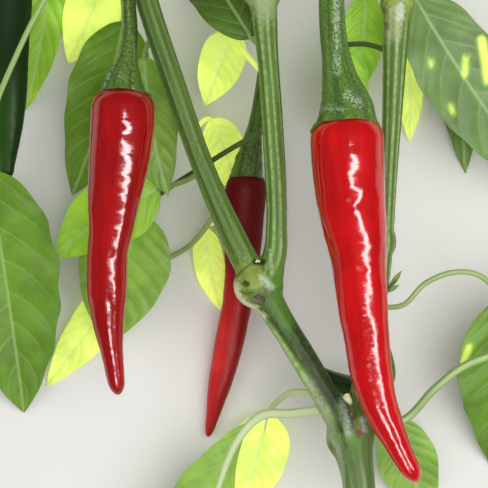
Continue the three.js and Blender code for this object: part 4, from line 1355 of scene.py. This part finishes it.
def fused(shape, cell):
    """Points and quads of the one skin round overlapping closed bodies."""
    blank = new_object("blank", shape.mesh("blank", scale=1))
    join = blank.modifiers.new("fuse", "REMESH")
    join.mode = "VOXEL"
    join.voxel_size = cell
    skin = bpy.data.meshes.new_from_object(
        blank.evaluated_get(bpy.context.evaluated_depsgraph_get()))
    points = np.zeros(len(skin.vertices) * 3, np.float32)
    skin.vertices.foreach_get("co", points)
    corners = np.zeros(len(skin.loops), np.int32)
    skin.loops.foreach_get("vertex_index", corners)
    if len(corners) != 4 * len(skin.polygons) or not len(corners):
        raise RuntimeError("the stems did not fuse into one skin of quads")
    bpy.data.objects.remove(blank)
    bpy.data.meshes.remove(skin)
    return points.reshape(-1, 3).astype(float), corners.reshape(-1, 4)


def relaxed(points, quads, weight, rounds):
    """Points drawn towards the middle of their neighbours, each by its own weight."""
    pairs = np.vstack([quads[:, [k, (k + 1) % 4]] for k in range(4)])
    pairs = np.unique(np.sort(pairs, axis=1), axis=0)
    first, second = pairs.T
    count = len(points)
    degree = np.bincount(first, minlength=count) + np.bincount(second, minlength=count)
    for _ in range(rounds):
        total = np.stack([
            np.bincount(first, points[second, k], count)
            + np.bincount(second, points[first, k], count) for k in range(3)], 1)
        points = points + weight[:, None] * (total / degree[:, None] - points)
    return points


# Feet of leaf and fruit stalks on the stems: radii as shares of the stalk's, and length
STEM_STEP = 0.8
LEAF_FOOT, LEAF_FOOT_LENGTH = (1.7, 1.25, 0.8), 4.5
FRUIT_FOOT, FRUIT_FOOT_LENGTH = (1.3, 1.12, 0.9), 7


def stem_blank():
    """Stems, swellings and the feet of stalks, as closed bodies that overlap."""
    shape = Shape()
    for stem in STEMS.values():
        path = route(stem["points"])
        shape.limb(path, stem["radii"], sides=28, step=STEM_STEP)
        if "swelling" in stem:
            shape.add_rings(ball(stem["points"][-1], stem["swelling"]))
    for leaf in LEAVES.values():
        radii = [leaf.get("stalk", STALK_RADIUS) * share for share in LEAF_FOOT]
        whole, _ = stalk_route(leaf)
        shape.limb(whole, radii, sides=16, step=STEM_STEP, end=LEAF_FOOT_LENGTH)
    for fruit in FRUITS.values():
        radii = [fruit["pedicel"] * share for share in FRUIT_FOOT]
        whole = route(fruit["stalk"])
        shape.limb(whole, radii, sides=20, step=STEM_STEP, end=FRUIT_FOOT_LENGTH)
    for centre, radii in SIDE_SWELLINGS:
        shape.add_rings(ball(centre, radii))
    shape.values.clear()
    return shape


def nearest_stem_values(points):
    """For each point: its stem, distance along it, outward direction and turn round it."""
    paths = {name: route(stem["points"]) for name, stem in STEMS.items()}
    names = [name for name, path in paths.items() for _ in path.marks]
    marks = np.concatenate([path.marks for path in paths.values()])
    places = np.vstack([path.places for path in paths.values()])
    frames = np.vstack([np.stack([path.ahead, path.sides, path.ups], 1)
                        for path in paths.values()])
    tree = KDTree(len(places))
    for index, place in enumerate(places):
        tree.insert(place, index)
    tree.balance()
    near = np.array([tree.find(point)[1] for point in points])
    gap = points - places[near]
    ahead, side, up = (frames[near, k] for k in range(3))
    forward = (gap * ahead).sum(1)
    gap = gap - ahead * forward[:, None]
    outward = unit(gap + TINY)
    return dict(
        name=np.array(names)[near], along=marks[near] + forward, outward=outward,
        side=(outward * side).sum(1), top=(outward * up).sum(1))


# Skin of the stems: how far it is smoothed, on the whole and further near a fork, where
# swellings end as shares of their radius, how much weaker the ribs' height, the ribs' colour
# and the deep bands are on them, and how the ribs turn, in degrees for each mm. A mark is
# ragged at its edge, and its pit and rim are bells at a share of its radius.
SMOOTHING, FORK_SMOOTHING, SMOOTHING_ROUNDS = 0.18, 0.42, 14
NEAR_FORK = (2.4, 1.0)
ON_SWELLING = (1.75, 0.95)
CALM_HEIGHT, CALM_COLOUR, CALM_DEEP = 0.8, 0.85, 0.35
STEM_RIB_SHARPNESS = 5
STEM_RIB_BELOW = 0.25
STEM_RIB_TURN = 0.25
UPPER_SIDE = (-0.2, 0.1)
RAGGED, RAGGED_WAVELENGTH, RAGGED_SEED = 0.24, 1.4, 5
PIT_REACH = 0.8
RIM_PLACE, RIM_WIDTH = 1.1, 0.35
OUT_OF_REACH = 9
BAND_EDGE = 9
CUT_EDGE = (0.3, 0.05)


def band_value(bands, angles):
    """Strength of bands that run along a stem between given angles, with soft edges."""
    total = np.zeros_like(angles)
    for start, end, strength in bands:
        half_width = (end - start) / 2
        turn = np.abs(np.mod(angles - (start + end) / 2 + 180, 360) - 180)
        soft = min(BAND_EDGE, half_width)
        share = smooth_step(half_width + soft, half_width - soft, turn)
        total = np.maximum(total, strength * share)
    return total


def stem_shape(settings):
    """All the stems in one skin, smooth at the forks and ribbed between them."""
    points, quads = fused(stem_blank(), settings.cell / MM)
    forks = [(stem["points"][-1], max(stem["swelling"])) for stem in STEMS.values()
             if "swelling" in stem]
    gaps = np.stack([np.linalg.norm(points - place, axis=1) / size for place, size in forks])
    near = smooth_step(*NEAR_FORK, gaps.min(axis=0))
    points = relaxed(points, quads, SMOOTHING + FORK_SMOOTHING * near, SMOOTHING_ROUNDS)
    values = nearest_stem_values(points)
    angles = np.degrees(np.arctan2(values["top"], values["side"]))
    swollen = smooth_step(*ON_SWELLING, gaps.min(axis=0))
    rib_angles = np.radians(angles + values["along"] * STEM_RIB_TURN)
    rib = np.abs(np.cos(rib_angles * RIB_COUNT / 2)) ** STEM_RIB_SHARPNESS
    lift = settings.rib_height / MM * (rib - STEM_RIB_BELOW) * (1 - CALM_HEIGHT * swollen)
    points = points + values["outward"] * lift[:, None]
    tints = {tint: np.zeros(len(points)) for tint in ("fork", *TINTS)}
    upper = smooth_step(*UPPER_SIDE, values["outward"][:, 2])
    ragged = 1 + RAGGED * ripple(points, RAGGED_WAVELENGTH, RAGGED_SEED)
    for mark in MARKS:
        share = gap_to_line(points, mark["points"]) / mark["radius"] * ragged
        share[np.abs(points[:, 0] - mark["points"][0][0]) > MARK_REACH] = OUT_OF_REACH
        pit = mark.get("pit", 0) * np.exp(-((share / PIT_REACH) ** 4))
        rim = mark.get("rim", 0) * np.exp(-(((share - RIM_PLACE) / RIM_WIDTH) ** 2))
        points = points + values["outward"] * ((pit + rim) * upper)[:, None]
        thin = len(mark["points"]) > 1 and mark["radius"] <= THIN_LINE
        tint = mark["strength"] * smooth_step(*(LINE_EDGE if thin else PATCH_EDGE), share)
        tint = tint if mark.get("all_round") else tint * upper
        tints[mark["tint"]] = np.maximum(tints[mark["tint"]], tint)
    cut = CUT_END[1]
    points[:, 1] = np.maximum(points[:, 1], cut)
    # Pale and deep bands: the stems' stripes, and painted light and painted shade on their sides
    by_stem = {key: np.zeros(len(points)) for key in ("rib", "pale", "deep")}
    for name, stem in STEMS.items():
        here = values["name"] == name
        from_middle = values["along"][here] - route(stem["points"]).length / 2
        turned = angles[here] + stem.get("turn", 0) * from_middle
        by_stem["rib"][here] = stem["ribs"] * rib[here]
        by_stem["pale"][here] = band_value(stem["pale"], turned)
        by_stem["deep"][here] = band_value(stem["deep"], turned)
    clear = 1 - CALM_COLOUR * swollen
    shape = Shape()
    shape.add(points, quads.tolist(), dict(
        along=values["along"], ring_side=values["side"], ring_top=values["top"],
        rib=by_stem["rib"] * clear, pale=by_stem["pale"] * clear,
        deep=by_stem["deep"] * (1 - CALM_DEEP * swollen),
        cut=smooth_step(*(cut + edge for edge in CUT_EDGE), points[:, 1]), **tints))
    return shape


# Young shoots in mm: leaves that get smaller one by one, with small ones at the tip, spread
# round a flattened turn. A leaf's tip lies ahead of the twig's end and beside it, each as mm
# and a share of the leaf's length.
SMALL_COUNT = 2
SMALL_SIZE, SMALL_SPREAD = 0.34, 0.5
SHRINK = 0.16
FLATNESS = 0.35
FIRST_TURN = 0.5
LARGE_START, SMALL_START = 5.5, 7.5
TIP_AHEAD, TIP_BESIDE = (6, 0.72), (4, 0.6)
YOUNG_LEAF = dict(neck=0.9, wave=0.7)
YOUNG_WIDTH = 0.42
AXIS = (0, 4.5, 9)
AXIS_RADII = (1.4, 1.15, 0.9)
YOUNG_STALK_RADII = (0.5, 0.45, 0.3, 0.12)
YOUNG_STALK_START = 3.5
YOUNG_MIDRIB_SHARES = (0.3, 0.6, 0.9)


def shoot_leaves(shoot):
    """Young leaves that grow round the end of a twig."""
    ahead = unit(shoot["heading"])
    side = unit(np.cross((0, 0, 1), ahead))
    lift = np.cross(ahead, side)
    end = np.array(shoot["end"])
    for index in range(shoot["count"] + SMALL_COUNT):
        turn = index * GOLDEN_ANGLE + FIRST_TURN
        small = index >= shoot["count"]
        size = shoot["length"] * (SMALL_SIZE if small else 1 - SHRINK * index)
        spread = side * math.cos(turn) + lift * FLATNESS * math.sin(turn)
        if small:
            spread = spread * SMALL_SPREAD
        start = end + ahead * (SMALL_START if small else LARGE_START) + spread
        onward, outward = (mm + size * share for mm, share in (TIP_AHEAD, TIP_BESIDE))
        tip = end + ahead * onward + spread * outward
        yield dict(
            YOUNG_LEAF, base=tuple(start), tip=tuple(tip), bow=(0, 0, 2 * size / shoot["length"]),
            width=size * YOUNG_WIDTH)


def shoot_shape(shoot, settings):
    """The young leaves of one twig."""
    shape = Shape()
    for leaf in shoot_leaves(shoot):
        add_blade(shape, leaf, settings, rows=40, columns=21)
    return shape


def shoot_axis_shape(shoot):
    """The end of a twig that runs on among its young leaves, and their stalks and midribs."""
    end, ahead = np.array(shoot["end"], float), unit(shoot["heading"])
    path = route([tuple(end + ahead * place) for place in AXIS])
    shape = Shape()
    shape.limb(path, AXIS_RADII, sides=16, step=0.8)
    for leaf in shoot_leaves(shoot):
        blade = blade_path(leaf)
        midrib = [tuple(blade.at(share * blade.length)[0]) for share in YOUNG_MIDRIB_SHARES]
        points = [tuple(end + ahead * YOUNG_STALK_START), leaf["base"], *midrib]
        shape.limb(route(points), YOUNG_STALK_RADII, sides=10, step=1.2)
    return shape


# Bud at the leaf joint of the right stem
BUD_LEAVES = (
    dict(base=(40.2, -12.6, 25.8), tip=(43.7, -7.5, 27.3), width=1.5, neck=0.8, wave=0.3),
    dict(base=(39.9, -13.4, 25.6), tip=(43.1, -11.4, 26.6), width=1.2, neck=0.8, wave=0.3),
)
BUD_STALK = ((37.6, -15.4, 24), (39.1, -14.5, 25.1), (40.2, -12.6, 25.8), (42.2, -9.8, 26.6))
BUD_RADII = (0.8, 0.6, 0.45, 0.25)


def bud_shape(settings):
    """The small leaves of the bud."""
    shape = Shape()
    for leaf in BUD_LEAVES:
        add_blade(shape, leaf, settings, rows=26, columns=13)
    return shape


def bud_stalk_shape():
    """The stalk of the bud."""
    shape = Shape()
    shape.limb(route(BUD_STALK), BUD_RADII, sides=12, step=0.5)
    return shape


# Stub of a flower, with the rings of its cup as (mm past its end, radius), and dry crumbs as
# their two ends. The crumbs take the stub's colour past its brown foot.
STUB = ((29.6, -47.4, 31), (29.6, -44.6, 32.2), (28.2, -41.7, 34.2))
STUB_RADII = (0.9, 0.7, 0.62, 0.66, 0.92, 0.98)
STUB_CUP = ((0.2, 0.82), (0.1, 0.62), (-0.4, 0.4), (-0.5, 0.15))
STUB_RIBS, STUB_RIB_SHARE = 5, 0.06
CRUMBS = (((3.3, -5.0, 34.3), (3.7, -4.3, 35.0)), ((4.1, -4.9, 34.3), (4.2, -4.5, 34.8)))
CRUMB_RADII = (0.3, 0.28, 0.15)
PAST_FOOT = 9


def stub_shape():
    """Stub of a fallen flower with a shallow cup at its end."""
    path = route(STUB)
    along = np.linspace(0, path.length, 26)
    size = smooth_value(STUB_RADII, along / path.length)
    along = np.append(along, [path.length + past for past, _ in STUB_CUP])
    size = np.append(size, [radius for _, radius in STUB_CUP])
    ribs = 1 + STUB_RIB_SHARE * np.cos(STUB_RIBS * even_angles(28))
    shape = Shape()
    rings, values = sweep(path, along, size[:, None] * ribs)
    shape.add_rings(rings, values)
    return shape


def crumb_shape():
    """The dry crumbs in the upper fork."""
    shape = Shape()
    for ends in CRUMBS:
        line = Path(np.linspace(*np.array(ends, float), 12))
        shape.limb(line, CRUMB_RADII, sides=10, step=0.2)
    shape.values["along"] = [values + PAST_FOOT for values in shape.values["along"]]
    return shape


class BRANCH_OT_stems(bpy.types.Operator):
    """Make the stems as one ribbed skin with swollen forks and scars"""

    bl_idname = "branch.make_stems"
    bl_label = "Stems"

    def execute(self, context):
        look = context.scene.branch_stems
        finish_piece("stems", stem_shape(look), stem_material(look), STEMS)
        return {"FINISHED"}


class BRANCH_OT_stubs(bpy.types.Operator):
    """Make the stub of the fallen flower and the dry bits at the upper fork"""

    bl_idname = "branch.make_stubs"
    bl_label = "Stubs"

    def execute(self, context):
        material = stub_material()
        finish_piece("flower_stub_cup", stub_shape(), material, ["flower_stub"])
        finish_piece("fork_stubs", crumb_shape(), material)
        return {"FINISHED"}


class BRANCH_OT_fruits(bpy.types.Operator):
    """Make the ripe and the unripe fruits, dented and glossy"""

    bl_idname = "branch.make_fruits"
    bl_label = "Fruits"

    def execute(self, context):
        look = context.scene.branch_fruits
        waxy = dict(roughness=look.roughness, specular=0.5, coat=0.5)
        dull = dict(roughness=look.soft_roughness)
        looks = {
            "ripe": (look.ripe, look.ripe_deep, waxy),
            "ripe_dark": (look.dark, look.dark_deep, waxy),
            "ripe_soft": (look.soft, look.soft_deep, dict(dull, specular=0.2)),
            "unripe": (look.unripe, look.unripe_deep, dict(dull, specular=0.1)),
            "young": (look.unripe, look.unripe_deep, waxy)}
        skins = {
            name: fruit_material(f"{name}_skin", light, deep, **finish)
            for name, (light, deep, finish) in looks.items()}
        for name, fruit in FRUITS.items():
            shape = fruit_shape(fruit, look.relief / MM)
            finish_piece(f"{name}_skin", shape, skins[fruit["skin"]], [name])
        return {"FINISHED"}


class BRANCH_OT_calyxes(bpy.types.Operator):
    """Make the fruit stalks that widen into ribbed calyxes"""

    bl_idname = "branch.make_calyxes"
    bl_label = "Calyxes"

    def execute(self, context):
        look = context.scene.branch_calyxes
        skins = {
            "cap": calyx_material("cap_skin", look.skin, look.deep, look),
            "cap_dark": calyx_material("cap_dark_skin", look.dark, look.dark_deep, look)}
        for name, fruit in FRUITS.items():
            shape = calyx_shape(fruit, look.rib_height / MM)
            finish_piece(f"{name}_cap", shape, skins[fruit["cap"]], [f"{name}_calyx"])
        return {"FINISHED"}


class BRANCH_OT_leaves(bpy.types.Operator):
    """Make the leaf blades, thin, veined and waved"""

    bl_idname = "branch.make_leaves"
    bl_label = "Leaves"

    def execute(self, context):
        look = context.scene.branch_leaves
        materials = {
            tone: leaf_material(f"leaf_{tone}", getattr(look, tone), look, GLOW.get(tone, 0))
            for tone in sorted({leaf["tone"] for leaf in LEAVES.values()})}
        for name, leaf in LEAVES.items():
            shape = Shape()
            add_blade(shape, dict(leaf, lit=LIT_SPOTS.get(name, ())), look)
            finish_piece(f"{name}_blade", shape, materials[leaf["tone"]], [name])
        return {"FINISHED"}


class BRANCH_OT_leaf_stalks(bpy.types.Operator):
    """Make the leaf stalks, which run on as the midribs of their blades"""

    bl_idname = "branch.make_leaf_stalks"
    bl_label = "Leaf stalks"

    def execute(self, context):
        look = context.scene.branch_leaves
        skins = {
            "plain": stalk_material("stalk_skin", look.stalk),
            "pale": stalk_material("pale_stalk_skin", look.stalk_pale),
            "dark": stalk_material("dark_stalk_skin", look.stalk_dark),
            "lit": stalk_material("lit_stalk_skin", look.sunlit, FULL_GLOW)}
        for name, leaf in LEAVES.items():
            tone = leaf.get("stalk_tone", "lit" if leaf["tone"] == "sunlit" else "plain")
            replaced = [f"{name}_stalk"] if leaf.get("own_stalk") else []
            finish_piece(f"{name}_rib", stalk_shape(leaf), skins[tone], replaced)
        return {"FINISHED"}


class BRANCH_OT_shoots(bpy.types.Operator):
    """Make the young leaves at the tips and the bud on the right stem"""

    bl_idname = "branch.make_shoots"
    bl_label = "Shoots"

    def execute(self, context):
        look = context.scene.branch_leaves
        young = leaf_material("leaf_young", look.bright, look, GLOW["bright"])
        stalk = stalk_material("shoot_stalk_skin", look.stalk)
        for name, shoot in SHOOTS.items():
            finish_piece(f"{name}_leaves", shoot_shape(shoot, look), young, [name])
            finish_piece(f"{name}_axis", shoot_axis_shape(shoot), stalk)
        bud = leaf_material("leaf_bud", look.shade, look)
        finish_piece("bud_shoot_leaves", bud_shape(look), bud, ["bud_shoot"])
        dark = stalk_material("bud_stalk_skin", look.stalk_dark)
        finish_piece("bud_shoot_stalk", bud_stalk_shape(), dark)
        return {"FINISHED"}


def layout_place(*millimetres):
    """A place in the layout, in the row frame's metres."""
    return Vector(ORIGIN + np.array(millimetres, float) * MM)


def along_floor(start, end, width):
    """Middle, turn and size of a level strip light between two places."""
    start, end = layout_place(*start), layout_place(*end)
    step = end - start
    return (start + end) / 2, (0, 0, math.atan2(step.y, step.x)), (step.length, width * MM)


def add_light(name, middle, turn, size, power, for_gloss=False):
    """A soft rectangular light, either for gloss alone or for all but gloss."""
    light = bpy.data.lights.new(name, "AREA")
    light.shape = "RECTANGLE"
    light.size, light.size_y = size
    light.energy = power
    made = new_object(name, light)
    made.location = middle
    made.rotation_euler = turn
    made.visible_glossy = for_gloss
    made.visible_diffuse = not for_gloss


def make_floor(look):
    """A plain pale floor, faintly mottled."""
    floor = Shape()
    corners = np.array([(-1, -1, 0), (1, -1, 0), (1, 1, 0), (-1, 1, 0)], float)
    floor.add(corners * FLOOR_REACH, [[0, 1, 2, 3]])
    made = new_object("floor", floor.mesh("floor"))
    material, tree, shader = new_material("floor_paint", 0.7)
    patches = mottle(tree, object_place(tree), 9.0)
    colour = mix_colours(tree, patches, toned(look.floor, 0.98), look.floor)
    feed(tree, colour, shader.inputs["Base Color"])
    made.data.materials.append(material)


def make_room(look):
    """A world of even light, dimmer in gloss."""
    room = bpy.data.worlds.new("room")
    room.use_nodes = True
    background = room.node_tree.nodes["Background"]
    background.inputs[0].default_value = (*linear(244, 244, 240), 1)
    in_gloss = place_node(room.node_tree, "ShaderNodeLightPath").outputs["Is Glossy Ray"]
    dimmed = ramp(room.node_tree, in_gloss, 0, 1, look.world, look.world * GLOSS_SHARE)
    feed(room.node_tree, dimmed, background.inputs[1])
    return room


def make_lights(look):
    """Strips for gloss, and two soft lights for all but gloss."""
    for strip in GLOSS_STRIPS:
        middle, turn, size = along_floor(*strip)
        power = look.gloss * size[0] * size[1]
        add_light("gloss_light", middle, turn, size, power, for_gloss=True)
    aim = layout_place(*LIGHT_AIM)
    for name, place, power in (("main_light", MAIN_LIGHT, look.key),
                               ("fill_light", FILL_LIGHT, look.fill)):
        place = layout_place(*place)
        turn = (aim - place).to_track_quat("-Z", "Y").to_euler()
        add_light(name, place, turn, SOFT_SIZE, power)


def make_camera():
    """A camera that looks straight down on the branch."""
    camera = bpy.data.cameras.new("camera")
    camera.sensor_width = SENSOR
    camera.lens = SENSOR / 2 * VIEW_DEPTH / HALF_PICTURE
    camera.clip_start, camera.clip_end = NEAREST, FURTHEST
    eye = new_object("camera", camera)
    eye.location = layout_place(0, 0, VIEW_HEIGHT)
    return eye


class BRANCH_OT_stage(bpy.types.Operator):
    """Make the floor, the lights and the camera that looks down on the branch"""

    bl_idname = "branch.make_stage"
    bl_label = "Stage"

    def execute(self, context):
        look = context.scene.branch_stage
        make_floor(look)
        context.scene.world = make_room(look)
        make_lights(look)
        context.scene.camera = make_camera()
        context.scene.view_settings.view_transform = "Standard"
        return {"FINISHED"}


OPERATORS = (
    BRANCH_OT_stems, BRANCH_OT_stubs, BRANCH_OT_fruits, BRANCH_OT_calyxes, BRANCH_OT_leaves,
    BRANCH_OT_leaf_stalks, BRANCH_OT_shoots, BRANCH_OT_stage,
)
SETTINGS = {
    "branch_stems": StemSettings, "branch_fruits": FruitSettings,
    "branch_calyxes": CalyxSettings, "branch_leaves": LeafSettings,
    "branch_stage": StageSettings,
}


class BRANCH_PT_panel(bpy.types.Panel):
    """Lists the sizes, the colours and the operators of the branch."""

    bl_label = "Chilli Pepper Branch"
    bl_space_type = "VIEW_3D"
    bl_region_type = "UI"
    bl_category = "Branch"

    def draw(self, context):
        for name, settings in SETTINGS.items():
            box = self.layout.box()
            box.label(text=settings.__doc__)
            for key in settings.__annotations__:
                box.prop(getattr(context.scene, name), key)
        for operator in OPERATORS:
            self.layout.operator(operator.bl_idname)


CLASSES = (*SETTINGS.values(), *OPERATORS, BRANCH_PT_panel)


def register():
    for cls in CLASSES:
        bpy.utils.register_class(cls)
    for name, settings in SETTINGS.items():
        setattr(bpy.types.Scene, name, PointerProperty(type=settings))


def unregister():
    for name in SETTINGS:
        delattr(bpy.types.Scene, name)
    for cls in reversed(CLASSES):
        bpy.utils.unregister_class(cls)


def main():
    register()
    for operator in OPERATORS:
        category, name = operator.bl_idname.split(".")
        getattr(getattr(bpy.ops, category), name)()


if __name__ == "__main__":
    main()
